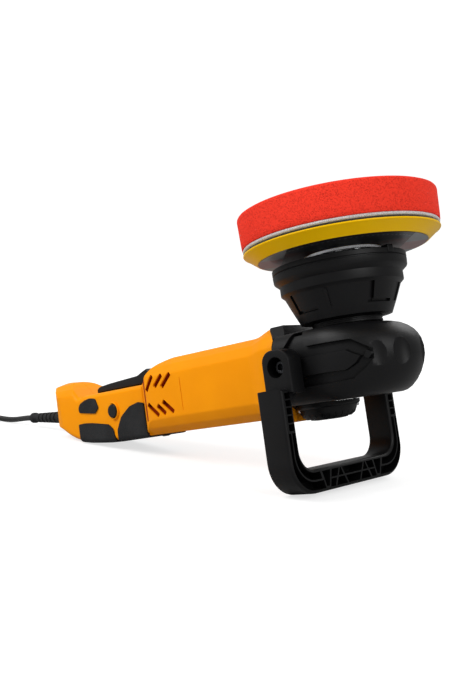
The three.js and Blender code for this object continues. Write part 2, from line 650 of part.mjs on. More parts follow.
function dHandleSolid() {
  const { back, front, lugInner, lugOuter, lugRadius } = dHandle;
  const lug = new THREE.Shape();
  lug.moveTo(pivot.x - lugRadius, -8);
  lug.lineTo(pivot.x + lugRadius, -8);
  lug.absarc(pivot.x, pivot.z, lugRadius, 0, Math.PI, false);
  const lugs = sides.map(([, side]) =>
    slab(lug, 'xz', side > 0 ? lugInner : -lugOuter, side > 0 ? lugOuter : -lugInner));
  const holes = sides.flatMap(([, side]) => {
    const span = (near, far) => (side > 0 ? [near, far] : [-far, -near]);
    return [
      rod(handleBolt.radius + gap, ...span(lugInner - 1, lugOuter + 1), 'y', [pivot.x, 0, pivot.z], 16),
      rod(handleBolt.recess, ...span(handleBolt.seat, lugOuter + 1), 'y', [pivot.x, 0, pivot.z], 20),
    ];
  });
  return cut(unite(slab(handleOutline(), 'yz', back, front, 2), ...lugs), ...holes);
}

function handleBoltAt(side) {
  const { radius, head: wide, headLength, seat, tip } = handleBolt;
  const profile = [[0, tip], [radius, tip], [radius, seat + gap], [wide, seat + gap],
    [wide, seat + gap + headLength], [0, seat + gap + headLength]];
  return turned(profile.map(([r, t]) => [r, side * t]), 'y', 18, [pivot.x, 0, pivot.z]);
}

// ---------------------------------------------------------------- controls
function triggerSolid() {
  const { rear, front, half, low, high, lip } = trigger;
  const profile = outline([
    [rear, low], [front, low], [front, lip - 3], [front - 5, lip], [front - 14, high + 1.5],
    [front - 30, high - 0.5], [rear + 12, high - 0.7], [rear, low + 4],
  ]);
  const stem = box([-272, -4, low - trigger.stem], [-262, 4, low + 1]);
  return unite(slab(profile, 'xz', -half, half, 1.5), stem);
}

/** A compression spring about z, its wire swept along a helix. */
function triggerSpring() {
  const turns = 3;
  const [low, high] = [innards.switch[1][2] + 1, trigger.low - 1];
  const path = new THREE.CatmullRomCurve3(Array.from({ length: turns * 8 + 1 }, (_, i) => {
    const angle = (Math.PI * i) / 4;
    const height = low + ((high - low) * i) / (turns * 8);
    return new THREE.Vector3(-252 + 3.2 * Math.cos(angle), 3.2 * Math.sin(angle), height);
  }));
  return swept(path, 0.4, turns * 8, 5);
}

/** A round wire or cord along a path. */
function swept(path, radius, steps, corners) {
  const section = new THREE.Shape();
  for (let i = 0; i < corners; i++) {
    const angle = (2 * Math.PI * i) / corners;
    const point = [radius * Math.cos(angle), radius * Math.sin(angle)];
    if (i === 0) section.moveTo(...point);
    else section.lineTo(...point);
  }
  section.closePath();
  return solid(new THREE.ExtrudeGeometry(section, { steps, bevelEnabled: false, extrudePath: path }));
}

function lockButtonSolid() {
  const { x, z, radius, proud } = lockButton;
  const face = -grip.half - proud;
  return turned([[0, face], [radius - 1, face], [radius, face + 1], [radius, -grip.half + grip.wall + 2],
    [0, -grip.half + grip.wall + 2]], 'y', 20, [x, 0, z]);
}

function speedDial() {
  return rod(dial.radius, -dial.half, dial.half, 'y', [dial.x, 0, dial.z], 24);
}

function strainRelief() {
  const { length, root, tip } = relief;
  const rows = 4;
  const profile = [[0, 7], [root, 7], [root, 0.5]];
  for (let i = 0; i < rows; i++) {
    const from = root - 0.4 + ((tip - root) * i) / rows;
    const start = -4 - ((length - 12) * i) / rows;
    profile.push([from, start], [from - 0.2, start - 7]);
    profile.push([from - 1.4, start - 8], [from - 1.4, start - 10.5]);
  }
  profile.push([tip - 1, 7 - length], [tip + 0.8, 5.5 - length], [tip + 0.8, 1 - length]);
  profile.push([tip - 0.4, -length], [0, -length]);
  return turned(profile, 'x', 12);
}

// ---------------------------------------------------------------- assembly along the tool's axes
const frontBearing = bearingPlate.front - bearing608.width - gap;
const spindleBearing = { ...bearing607, bore: bearing607.bore + gap };
const rotorBore = shaft.motor + gap;
const label = ring(30, plate.label - 0.5, plate.back - 0.1, plate.back + 0.4 - gap, 'z', [0, 0, 0], 36);
const tool = new THREE.Group();

function body(...meshes) {
  const group = new THREE.Group();
  group.add(...meshes);
  tool.add(group);
  return group;
}

body(
  piece('gear_housing', gearHousing(), black),
  piece('head_cover', headCover(), black),
  ...coverScrewPlaces.map((at, i) => piece(`cover_screw_${i + 1}`, coverScrewAt(at), steel)),
  piece('bearing_plate', bearingPlateSolid(), aluminium),
  piece('front_armature_bearing', bearing(bearing608, frontBearing, 'x'), steel),
  piece('upper_spindle_bearing', bearing({ ...bearing6201, bore: shaft.spindle + gap },
    retainer.low + gap, 'z'), steel),
  piece('lower_spindle_bearing', bearing(spindleBearing, lowerBearing.low, 'z'), steel),
  piece('bearing_collar', bearingCollar(), black),
  piece('shroud', shroudSolid(), black),
);

body(
  piece('motor_housing', motorHousing(), orange),
  piece('stator_core', statorCore(), darkSteel),
  piece('upper_field_coil', fieldCoil(Math.PI / 2), copper),
  piece('lower_field_coil', fieldCoil(-Math.PI / 2), copper),
  piece('rear_bearing_bracket', rearBracket(), black),
  piece('rear_armature_bearing', bearing(bearing607, -205.5, 'x'), steel),
  ...sides.map(([name, side]) => piece(`${name}_brush_holder`, brushHolder(side), copper)),
  ...sides.map(([name, side]) => piece(`${name}_carbon_brush`, carbonBrush(side), carbon)),
);

const gripGroup = body(
  ...sides.map(([name, side]) => piece(`${name}_grip_half`, gripHalf(side), orange)),
  ...gripScrewPlaces.map((at, i) => piece(`grip_screw_${i + 1}`, gripScrewAt(at), steel)),
  piece('left_heel_rubber', gripRubber(rubberAreas.heel, -60, 0), rubber),
  piece('right_heel_rubber', gripRubber(rubberAreas.heel, 0, 60), rubber),
  piece('palm_rubber', gripRubber(rubberAreas.palm, -60, 60), rubber),
  piece('front_rubber', gripRubber(rubberAreas.front, -60, 60), rubber),
  piece('trigger_switch', box(...innards.switch), black),
  piece('speed_board', box(...innards.board), green),
  piece('trigger_spring', triggerSpring(), steel),
  piece('cord_clamp', cordClamp(), black),
);

// pieces that turn, slide or tilt
body(
  piece('armature_shaft', armatureShaft(), steel),
  piece('armature_core', ring(rotorBore, rotor.radius, rotor.rear, rotor.front, 'x', [0, 0, 0], 32), darkSteel),
  piece('commutator', ring(rotorBore, commutator.radius, commutator.rear, commutator.front, 'x'), copper),
  piece('cooling_fan', fan(), black),
  piece('bevel_pinion', pinion(), darkSteel),
);
body(
  piece('spindle', spindle(), steel),
  piece('bevel_wheel', bevelWheel(), darkSteel),
  piece('eccentric_carrier', eccentricCarrier(), aluminium),
  piece('carrier_bearing', bearing(bearing6001, carrier.floor + gap, 'z', [orbit.x, orbit.y, 0]), steel),
);
const padStack = body(
  piece('pad_shaft', padShaftSolid(), steel),
  piece('plate_hub', plateHub(), steel),
  piece('label_disc', label, black),
  piece('backing_plate', backingPlate(), yellow),
  piece('pad_bolt', padBoltSolid(), steel),
  piece('hook_layer', rod(pad.radius - 1, hookLow, hookLow + pad.hook, 'z', [0, 0, 0], 36), black),
  piece('loop_layer', rod(pad.radius, loopLow, loopLow + pad.loop, 'z', [0, 0, 0], 36), white),
  piece('foam_pad', foamPad(), foamRed),
);
padStack.position.set(orbit.x, orbit.y, 0);
const handleGroup = body(piece('d_handle', dHandleSolid(), black));
body(...sides.map(([name, side]) => piece(`${name}_handle_bolt`, handleBoltAt(side), steel)));
body(piece('trigger', triggerSolid(), black));
body(piece('lock_button', lockButtonSolid(), black));
body(piece('speed_dial', speedDial(), black));
const reliefGroup = body(piece('strain_relief', strainRelief(), black));
reliefGroup.position.set(relief.back, 0, relief.z);
reliefGroup.rotation.y = THREE.MathUtils.degToRad(relief.droop);

// ---------------------------------------------------------------- standing on the bench
// The bar's rear lower edge and the heel of the grip touch the bench.
const polisher = new THREE.Group();
polisher.add(tool);

/** How far the D-handle stands above the lowest point of the rest, at a pitch. */
function barHeight(pitch) {
  tool.rotation.y = -pitch;
  polisher.updateMatrixWorld(true);
  const lowest = (group) => new THREE.Box3().setFromObject(group, true).min.z;
  return lowest(handleGroup) - lowest(gripGroup);
}

let [flat, steep] = [0, Math.PI / 6];
for (let i = 0; i < 24; i++) {
  const half = (flat + steep) / 2;
  if (barHeight(half) < 0) flat = half;
  else steep = half;
}
tool.rotation.y = -(flat + steep) / 2;
polisher.updateMatrixWorld(true);
const bounds = new THREE.Box3().setFromObject(tool, true);
const middle = bounds.getCenter(new THREE.Vector3());
tool.position.set(-middle.x, -middle.y, -bounds.min.z);
polisher.updateMatrixWorld(true);

// ---------------------------------------------------------------- lead on the bench
function lead(route) {
  const path = new THREE.CatmullRomCurve3(route.map((point) => new THREE.Vector3(...point)));
  const steps = Math.ceil(path.getLength() / (2.2 * cord.diameter));
  return swept(path, cord.diameter / 2, steps, 10);
}

function cordCoil() {
  const reach = (coil.columns * cord.diameter) / 2;
  const high = coil.layers * cord.diameter;
  return ring(coil.turn - reach, coil.turn + reach, 0, high, 'z', [coil.x, coil.y, 0], 32);
}

/** A moulded two-pin plug lying flat, its cord entering from -x. */
function plugSolid() {
  const { x, y, z, length, width, height, nose, pin, pinLength, pinGap } = plug;
  const half = width / 2;
  const end = x + length;
  const body = outline([
    [x, y - 7], [x, y + 7], [x + 10, y + half - 3], [end - 6, y + half],
    [end, y + half - 4], [end, y - half + 4], [end - 6, y - half], [x + 10, y - half + 3],
  ]);
  const pins = [-1, 1].map((side) =>
    rod(pin, end - 2, end + pinLength, 'x', [0, y + (side * pinGap) / 2, z], 12));
  const profile = [[0, x + 4], [6.5, x + 4], [6.5, x], [cord.diameter / 2 + 0.8, x - nose], [0, x - nose]];
  const sleeve = turned(profile, 'x', 14, [0, y, z]);
  return unite(slab(body, 'xy', z - height / 2, z + height / 2, 3.2), sleeve, ...pins);
}

polisher.add(
  piece('cord_tube', lead(cordRoute), black),
  piece('cord_coil', cordCoil(), black),
  piece('cord_tail', lead(tailRoute), black),
  piece('plug', plugSolid(), black),
);

export default polisher;
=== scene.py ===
"""Looks of a corded dual-action polisher with a D-handle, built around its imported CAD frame.

Pieces are shaped in the tool's own millimetres: x runs forward along the motor, z runs up the
spindle towards the pad, and the two axes cross at the origin. One matrix then stands each piece
on the bench in metres.
"""

import logging
import math
from dataclasses import dataclass, replace
from enum import Enum
from typing import Callable, Optional, Sequence, Union

import bmesh
import bpy
from mathutils import Matrix, Vector


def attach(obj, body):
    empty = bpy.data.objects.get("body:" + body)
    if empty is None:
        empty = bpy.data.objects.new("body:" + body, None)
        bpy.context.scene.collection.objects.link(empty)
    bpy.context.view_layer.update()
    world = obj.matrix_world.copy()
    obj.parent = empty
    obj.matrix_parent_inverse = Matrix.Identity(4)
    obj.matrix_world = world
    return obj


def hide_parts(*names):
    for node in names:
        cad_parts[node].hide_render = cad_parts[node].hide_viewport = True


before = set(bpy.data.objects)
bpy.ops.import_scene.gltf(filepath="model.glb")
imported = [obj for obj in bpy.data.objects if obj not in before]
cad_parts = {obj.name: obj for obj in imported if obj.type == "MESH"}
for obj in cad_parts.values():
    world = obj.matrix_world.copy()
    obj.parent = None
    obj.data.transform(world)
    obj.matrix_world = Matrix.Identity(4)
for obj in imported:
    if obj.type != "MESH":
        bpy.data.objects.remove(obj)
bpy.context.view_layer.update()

logging.basicConfig(level=logging.INFO, format="%(message)s")
log = logging.getLogger("polisher")

MM = 0.001
LEAN = (0.98000139, 0.19899064)  # cosine and sine of the tool's pitch on the bench
TOOL_ORIGIN = Vector((0.186881, -0.0014, 0.094768))
TOOL = Matrix((
    (LEAN[0] * MM, 0.0, -LEAN[1] * MM, TOOL_ORIGIN.x),
    (0.0, MM, 0.0, TOOL_ORIGIN.y),
    (LEAN[1] * MM, 0.0, LEAN[0] * MM, TOOL_ORIGIN.z),
    (0.0, 0.0, 0.0, 1.0),
))
BENCH = Matrix.Scale(MM, 4)  # pieces that lie on the bench keep its axes
PAD_AXIS = Vector((4.2, 1.4, 0.0))

Point2 = tuple[float, float]
Point3 = tuple[float, float, float]
Colour = tuple[float, float, float]
Value = Union["Socket", float]
Mesh = bmesh.types.BMesh
WELD = 1e-3  # points nearer than this, in mm, are one


class Axis(Enum):
    """The three directions of the tool."""

    X = 0
    Y = 1
    Z = 2

    @property
    def vector(self) -> Vector:
        """The unit vector along this axis."""
        return Vector([1.0 if i == self.value else 0.0 for i in range(3)])


class Work(Enum):
    """What a shape does to the body it meets."""

    ADD = "UNION"
    CUT = "DIFFERENCE"
    KEEP = "INTERSECT"


Steps = list[tuple[Work, Mesh]]


# ------------------------------------------------------------------ shader expressions
@dataclass(frozen=True)
class Socket:
    """A shader output that takes part in Python expressions."""

    shader: "Shader"
    output: bpy.types.NodeSocket

    def math(self, operation: str, *others: Value) -> "Socket":
        """Adds a Math node on this value.

        Args:
            operation: the Math node's operation.
            others: its further values.

        Returns:
            The node's result.
        """
        return self.shader.node("Math", {"operation": operation}, [self, *others])

    def __add__(self, other: Value) -> "Socket":
        """Sum."""
        return self.math("ADD", other)

    __radd__ = __add__

    def __mul__(self, other: Value) -> "Socket":
        """Product."""
        return self.math("MULTIPLY", other)

    __rmul__ = __mul__

    def __sub__(self, other: Value) -> "Socket":
        """Difference."""
        return self.math("SUBTRACT", other)

    def __rsub__(self, other: Value) -> "Socket":
        """Difference with this value taken away."""
        return self.shader.node("Math", {"operation": "SUBTRACT"}, [other, self])

    def __abs__(self) -> "Socket":
        """Size without sign."""
        return self.math("ABSOLUTE")

    def __gt__(self, other: Value) -> "Socket":
        """1 where this value is the greater, else 0."""
        return self.math("GREATER_THAN", other)

    def __lt__(self, other: Value) -> "Socket":
        """1 where this value is the smaller, else 0."""
        return self.math("LESS_THAN", other)

    def rise(self, low: float, high: float) -> "Socket":
        """Smooth step from 0 at low to 1 at high.

        Args:
            low: where it leaves 0.
            high: where it reaches 1.

        Returns:
            The stepped value.
        """
        settings = {"interpolation_type": "SMOOTHSTEP"}
        return self.shader.node("MapRange", settings, {"Value": self, "From Min": low, "From Max": high})


class Shader:
    """A material under construction."""

    def __init__(self, name: str) -> None:
        """Starts a material with a bare Principled surface."""
        self.material = bpy.data.materials.new(name)
        self.material.use_nodes = True
        self.tree = self.material.node_tree
        self.surface = self.tree.nodes["Principled BSDF"]

    def node(self, kind: str, settings: Optional[dict] = None,
             inputs: Union[Sequence, dict, None] = None, output: Union[int, str] = 0) -> Socket:
        """Adds any node.

        Args:
            kind: the node's type without its prefix.
            settings: properties set before the sockets, and "stops" for a ramp.
            inputs: values or links, in order or by socket name or index.
            output: the socket to hand back.

        Returns:
            The chosen output.
        """
        made = self.tree.nodes.new("ShaderNode" + kind)
        for key, value in (settings or {}).items():
            if key == "stops":
                ramp = made.color_ramp
                while len(ramp.elements) < len(value):
                    ramp.elements.new(0.5)
                for element, (place, colour) in zip(ramp.elements, value):
                    element.position = place
                    element.color = (*colour, 1.0)
            else:
                setattr(made, key, value)
        pairs = inputs.items() if isinstance(inputs, dict) else enumerate(inputs or [])
        for key, value in pairs:
            self.feed(made.inputs[key], value)
        return Socket(self, made.outputs[output])

    def feed(self, socket: bpy.types.NodeSocket, value: Union[Value, Colour]) -> None:
        """Links or sets one input socket.

        Args:
            socket: the input.
            value: a shader output, number or colour.
        """
        if isinstance(value, Socket):
            self.tree.links.new(value.output, socket)
        elif isinstance(value, (tuple, Vector)) and len(value) == 3 and len(socket.default_value) == 4:
            socket.default_value = (*value, 1.0)
        else:
            socket.default_value = value

    def place(self) -> Socket:
        """The point on the piece, in the bench's metres."""
        return self.node("TexCoord", output="Object")

    def along(self, direction: Sequence[float]) -> Socket:
        """Distance from the tool's origin along a direction.

        Args:
            direction: unit vector in the bench's frame.

        Returns:
            The distance in millimetres.
        """
        apart = self.node("VectorMath", {"operation": "SUBTRACT"}, [self.place(), tuple(TOOL_ORIGIN)])
        dot = self.node("VectorMath", {"operation": "DOT_PRODUCT"}, [apart, tuple(direction)], "Value")
        return dot * 1000.0

    def tool(self) -> tuple[Socket, Socket, Socket]:
        """The point's x, y and z along the tool's axes, in millimetres."""
        return (self.along((LEAN[0], 0.0, LEAN[1])), self.along((0.0, 1.0, 0.0)),
                self.along((-LEAN[1], 0.0, LEAN[0])))

    def noise(self, scale: float, detail: float = 3.0, roughness: float = 0.55,
              vector: Optional[Socket] = None) -> Socket:
        """Noise of about 0 to 1.

        Args:
            scale: patches to a metre.
            detail: octaves.
            roughness: weight of the finer octaves.
            vector: the point it is read at, or the piece's own.

        Returns:
            The noise value.
        """
        return self.node("TexNoise", None, {
            "Vector": vector or self.place(), "Scale": scale, "Detail": detail, "Roughness": roughness})

    def cells(self, scale: float, vector: Optional[Socket] = None) -> Socket:
        """Distance within cells scattered at a scale to the metre."""
        return self.node("TexVoronoi", None, {"Vector": vector or self.place(), "Scale": scale})

    def mix(self, first: Union[Socket, Colour], second: Union[Socket, Colour], share: Value) -> Socket:
        """Blends two colours.

        Args:
            first: colour at share 0.
            second: colour at share 1.
            share: how much of the second.

        Returns:
            The blended colour.
        """
        return self.node("Mix", {"data_type": "RGBA"}, {0: share, 6: first, 7: second}, 2)

    def bump(self, height: Value, depth: float) -> None:
        """Feeds the surface's normal from a height.

        Args:
            height: relief from 0 to 1.
            depth: what 1 stands for, in millimetres.
        """
        relief = self.node("Bump", None, {"Strength": 1.0, "Distance": depth * MM, "Height": height})
        self.feed(self.surface.inputs["Normal"], relief)

    def dress(self, **values: Union[Value, Colour]) -> bpy.types.Material:
        """Sets the surface's sockets by name, underscores standing for spaces.

        Returns:
            The finished material.
        """
        for name, value in values.items():
            self.feed(self.surface.inputs[name.replace("_", " ")], value)
        return self.material


# ------------------------------------------------------------------ finishes
@dataclass(frozen=True)
class MouldedPlastic:
    """Spark-textured or satin moulded plastic."""

    name: str
    colour: Colour
    roughness: float = 0.45
    grain: float = 0.05  # relief in mm
    grain_scale: float = 1600.0
    mottle: float = 0.12
    specular: float = 0.5

    def material(self, relief: Optional[Callable[[Shader], Socket]] = None, depth: float = 0.6,
                 tint: Optional[Callable[[Shader, Socket], Socket]] = None) -> bpy.types.Material:
        """Makes the material.

        Args:
            relief: moulded lines as a height from 0 to 1, over the grain.
            depth: what a height of 1 stands for, in mm.
            tint: repaints the base colour.

        Returns:
            The material.
        """
        shader = Shader(self.name)
        cloud = shader.noise(28.0, 4.0)
        fine = shader.noise(self.grain_scale, 2.0, 0.7)
        darker = tuple(c * (1 - self.mottle) for c in self.colour)
        lighter = tuple(min(1.0, c * (1 + self.mottle)) for c in self.colour)
        base = shader.mix(darker, lighter, cloud.rise(0.3, 0.7))
        if tint:
            base = tint(shader, base)
        height = fine * (self.grain / depth)
        if relief:
            height = height + relief(shader)
        shader.bump(height, depth)
        rough = fine * 0.12 + cloud * 0.08 + (self.roughness - 0.1)
        return shader.dress(Base_Color=base, Roughness=rough, Specular_IOR_Level=self.specular)


@dataclass(frozen=True)
class Metal:
    """Machined, cast or plated metal."""

    name: str
    colour: Colour
    roughness: float = 0.3
    streak: Point3 = (300.0, 300.0, 300.0)

    def material(self) -> bpy.types.Material:
        """The material, with fine tool marks and faint stains.

        Returns:
            The material.
        """
        shader = Shader(self.name)
        stretched = shader.node("Mapping", None, {"Vector": shader.place(), "Scale": self.streak})
        marks = shader.noise(4.0, 4.0, 0.6, stretched)
        stains = shader.noise(60.0, 3.0)
        dull = tuple(c * 0.72 for c in self.colour)
        shader.bump(marks, 0.02)
        return shader.dress(
            Base_Color=shader.mix(dull, self.colour, stains.rise(0.25, 0.6)), Metallic=1.0,
            Roughness=marks * 0.18 + stains * 0.1 + (self.roughness - 0.12))


@dataclass(frozen=True)
class OpenFoam:
    """Open-cell polishing foam."""

    name: str
    colour: Colour
    # painted shade: the darker, shaded copy of the red put in the pores
    recess_shade: Colour
    cell: float = 1.25  # width of a pore in mm

    def material(self) -> bpy.types.Material:
        """The material: pores in two sizes in a soft skin, with painted shade in the pores.

        Returns:
            The material.
        """
        shader = Shader(self.name)
        warp = shader.node("VectorMath", {"operation": "ADD"}, [
            shader.place(), shader.node("VectorMath", {"operation": "SCALE"}, {
                0: shader.node("TexNoise", None, {"Vector": shader.place(), "Scale": 700.0}, "Color"),
                "Scale": 0.0006})])
        coarse = shader.cells(1000.0 / self.cell, vector=warp)
        small = shader.cells(2300.0 / self.cell, vector=warp)
        skin = coarse.rise(0.12, 0.5) * 0.65 + small.rise(0.15, 0.55) * 0.35
        cloud = shader.noise(35.0, 4.0)
        lit = shader.mix(self.colour, tuple(min(1.0, c * 1.12) for c in self.colour), cloud)
        shader.bump(skin, 0.5)
        # painted shade: the pores take the shaded red, the skin the foam's own red
        return shader.dress(Base_Color=shader.mix(self.recess_shade, lit, skin * 0.75 + 0.25), Roughness=0.92,
                            Specular_IOR_Level=0.15)


@dataclass(frozen=True)
class Pile:
    """A short pile of loops or hooks."""

    name: str
    colour: Colour
    shade: Colour
    pitch: float = 0.8

    def material(self) -> bpy.types.Material:
        """The material: fibres in clumps of the given pitch.

        Returns:
            The material.
        """
        shader = Shader(self.name)
        clumps = shader.cells(1000.0 / self.pitch)
        hairs = shader.noise(5200.0, 2.0, 0.8)
        height = clumps * 0.6 + hairs * 0.6
        shader.bump(height, 0.3)
        return shader.dress(Base_Color=shader.mix(self.shade, self.colour, height.rise(0.25, 0.75)),
                            Roughness=0.95, Sheen_Weight=0.3)


@dataclass(frozen=True)
class GripRubber:
    """Soft over-moulded rubber with a fine stipple."""

    name: str
    colour: Colour
    roughness: float = 0.72

    def material(self) -> bpy.types.Material:
        """The material: raised dots, bloom and rubbed patches.

        Returns:
            The material.
        """
        shader = Shader(self.name)
        dots = shader.cells(900.0)
        bloom = shader.noise(45.0, 5.0)
        shader.bump(1.0 - dots.rise(0.2, 0.6) + shader.noise(3000.0) * 0.3, 0.12)
        paler = tuple(c * 1.5 + 0.01 for c in self.colour)
        return shader.dress(Base_Color=shader.mix(self.colour, paler, bloom.rise(0.35, 0.8)),
                            Roughness=bloom * 0.16 + (self.roughness - 0.08), Specular_IOR_Level=0.35)


BLACK = MouldedPlastic("spark_textured_black", (0.003, 0.003, 0.0034), 0.44, 0.05, 1500.0, 0.25, 0.21)
SMOOTH_BLACK = MouldedPlastic("satin_black", (0.005, 0.005, 0.0055), 0.4, 0.02, 1900.0, 0.2, 0.3)
ORANGE = MouldedPlastic("moulded_orange", (1.0, 0.33, 0.0004), 0.42, 0.02, 1400.0, 0.03, 0.08)
YELLOW = MouldedPlastic("glossy_yellow", (1.0, 0.57, 0.0004), 0.38, 0.01, 900.0, 0.03, 0.1)
LEAD_JACKET = MouldedPlastic("lead_jacket", (0.018, 0.018, 0.018), 0.5, 0.02, 2200.0, 0.2)
RUBBER = GripRubber("grip_rubber", (0.006, 0.0065, 0.0075))
STEEL = Metal("bright_steel", (0.72, 0.73, 0.74), 0.26)
DARK_STEEL = Metal("dark_steel", (0.2, 0.21, 0.23), 0.38)
BLUED = Metal("blued_steel", (0.055, 0.057, 0.062), 0.34)
CAST = Metal("cast_aluminium", (0.55, 0.56, 0.57), 0.45)
COPPER = Metal("enamelled_copper", (0.62, 0.26, 0.1), 0.35)
CARBON = MouldedPlastic("pressed_carbon", (0.03, 0.03, 0.03), 0.6, 0.05, 2500.0, 0.3)
BOARD = MouldedPlastic("circuit_board", (0.02, 0.15, 0.05), 0.4, 0.02, 1200.0, 0.2)
# the second colour is painted shade for the foam's pores
FOAM = OpenFoam("red_foam", (1.0, 0.045, 0.022), (0.66, 0.02, 0.01))
LOOPS = Pile("loop_layer", (0.72, 0.71, 0.69), (0.28, 0.27, 0.26))
HOOKS = Pile("hook_layer", (0.03, 0.03, 0.03), (0.008, 0.008, 0.008), 1.4)


# ------------------------------------------------------------------ shapes in the tool's millimetres
def round_corners(bm: Mesh, corners: dict[int, float], segments: int = 5) -> None:
    """Rounds chosen vertices of a wire or a flat face.

    Args:
        bm: the mesh.
        corners: vertex number to radius offset.
        segments: facets in each corner.
    """
    bm.verts.ensure_lookup_table()
    groups = {radius: [bm.verts[i] for i, r in corners.items() if r == radius]
              for radius in sorted(set(corners.values()))}
    for radius, chosen in groups.items():
        bmesh.ops.bevel(bm, geom=chosen, offset=radius, segments=segments, profile=0.5, material=-1,
                        affect="VERTICES", offset_type="OFFSET")


def turned(profile: Sequence[Point2], axis: Axis = Axis.Z, centre: Sequence[float] = (0, 0, 0),
           steps: int = 96) -> Mesh:
    """Spins a profile of (radius, distance) points about a line.

    Args:
        profile: the points in order.
        axis: the direction of the line.
        centre: a point on the line.
        steps: facets in a full turn.

    Returns:
        The closed mesh.
    """
    bm = bmesh.new()
    out = Vector((0, 0, 1)) if axis is Axis.X else Vector((1, 0, 0))
    origin = Vector(centre)
    verts = [bm.verts.new(origin + out * r + axis.vector * t) for r, t in profile]
    for a, b in zip(verts, verts[1:]):
        bm.edges.new((a, b))
    if profile[0][0] > WELD:
        bm.edges.new((verts[-1], verts[0]))
    bmesh.ops.spin(bm, geom=bm.verts[:] + bm.edges[:], cent=origin, axis=axis.vector,
                   angle=math.tau, steps=steps, use_merge=True)
    bmesh.ops.remove_doubles(bm, verts=bm.verts[:], dist=1e-4)
    bmesh.ops.recalc_face_normals(bm, faces=bm.faces[:])
    return bm


def slab(points: Sequence[Point2], axis: Axis, low: float, high: float,
         corners: Optional[dict[int, float]] = None, segments: int = 5,
         edge: float = 0.0, edge_segments: int = 3) -> Mesh:
    """A flat outline raised along an axis.

    Args:
        points: corners in the two other axes, in order (y z, x z or x y).
        axis: the direction it is raised in.
        low: where it starts.
        high: where it ends.
        corners: corner number to rounding.
        segments: facets in each rounded corner.
        edge: rounding of the rims at both ends.
        edge_segments: facets in each rim.

    Returns:
        The closed mesh.
    """
    bm = bmesh.new()
    verts = []
    for a, b in points:
        place = [a, b]
        place.insert(axis.value, low)
        verts.append(bm.verts.new(place))
    bm.faces.new(verts)
    if corners:
        round_corners(bm, corners, segments)
    raised = bmesh.ops.extrude_face_region(bm, geom=bm.faces[:])
    top = [g for g in raised["geom"] if isinstance(g, bmesh.types.BMVert)]
    bmesh.ops.translate(bm, vec=axis.vector * (high - low), verts=top)
    if edge:
        i = axis.value
        rim = [e for e in bm.edges if abs(e.verts[0].co[i] - e.verts[1].co[i]) < 1e-5]
        bmesh.ops.bevel(bm, geom=rim, offset=edge, segments=edge_segments, profile=0.5, material=-1,
                        affect="EDGES", clamp_overlap=True)
    bmesh.ops.recalc_face_normals(bm, faces=bm.faces[:])
    return bm


def rod(radius: float, low: float, high: float, axis: Axis = Axis.Z, centre: Sequence[float] = (0, 0, 0),
        steps: int = 32) -> Mesh:
    """A plain cylinder along an axis, between two distances along it."""
    return turned([(0, low), (radius, low), (radius, high), (0, high)], axis, centre, steps)


def spot(place: Sequence[float], turn: float) -> Matrix:
    """The move to a place after a turn about z in degrees."""
    return Matrix.Translation(Vector(place)) @ Matrix.Rotation(math.radians(turn), 4, "Z")


def moved(bm: Mesh, matrix: Matrix) -> Mesh:
    """The same shape after a move."""
    bmesh.ops.transform(bm, matrix=matrix, verts=bm.verts[:])
    return bm


def carried_on(bm: Mesh, ring: list[bmesh.types.BMEdge],
               ) -> tuple[list[bmesh.types.BMVert], list[bmesh.types.BMEdge]]:
    """Extrudes a ring of edges in place and hands back the new vertices and edges.

    Args:
        bm: the mesh.
        ring: the edges.

    Returns:
        The new vertices and the new edges.
    """
    made = bmesh.ops.extrude_edge_only(bm, edges=ring)["geom"]
    return ([g for g in made if isinstance(g, bmesh.types.BMVert)],
            [g for g in made if isinstance(g, bmesh.types.BMEdge)])


def sealed(bm: Mesh) -> Mesh:
    """Fills the open ends of a shape and turns its faces outwards."""
    bmesh.ops.holes_fill(bm, edges=[e for e in bm.edges if e.is_boundary], sides=0)
    bmesh.ops.recalc_face_normals(bm, faces=bm.faces[:])
    return bm


def mirrored(points: Sequence[Point2], signs: Point2) -> list[Point2]:
    """An outline's half followed by its mirror image, back to where it starts."""
    return [*points, *((a * signs[0], b * signs[1]) for a, b in reversed(points))]


def ball(centre: Sequence[float], size: Sequence[float], turn: float = 0.0) -> Mesh:
    """An ellipsoid with half sizes along the axes, turned about z by degrees.

    Args:
        centre: its middle.
        size: its half sizes.
        turn: its turn about z in degrees.

    Returns:
        The closed mesh.
    """
    bm = bmesh.new()
    bmesh.ops.create_uvsphere(bm, u_segments=32, v_segments=20, radius=1.0,
                              matrix=spot(centre, turn) @ Matrix.Diagonal((*size, 1.0)))
    return bm


def block(low: Sequence[float], high: Sequence[float], edge: float = 0.0) -> Mesh:
    """A box between two corners, its edges rounded by a distance.

    Args:
        low: its lowest corner.
        high: its highest corner.
        edge: rounding of every edge.

    Returns:
        The closed mesh.
    """
    bm = bmesh.new()
    size = Vector(high) - Vector(low)
    bmesh.ops.create_cube(bm, size=1.0, matrix=Matrix.Translation((Vector(low) + Vector(high)) / 2)
                          @ Matrix.Diagonal((*size, 1.0)))
    if edge:
        bmesh.ops.bevel(bm, geom=bm.edges[:], offset=edge, segments=3, profile=0.5, material=-1,
                        affect="EDGES")
    return bm


def as_object(bm: Mesh, name: str) -> bpy.types.Object:
    """Hands a bmesh over to a new object in the scene.

    Args:
        bm: the shape, which is used up.
        name: the object's name.

    Returns:
        The object.
    """
    mesh = bpy.data.meshes.new(name)
    bm.to_mesh(mesh)
    bm.free()
    made = bpy.data.objects.new(name, mesh)
    bpy.context.scene.collection.objects.link(made)
    return made


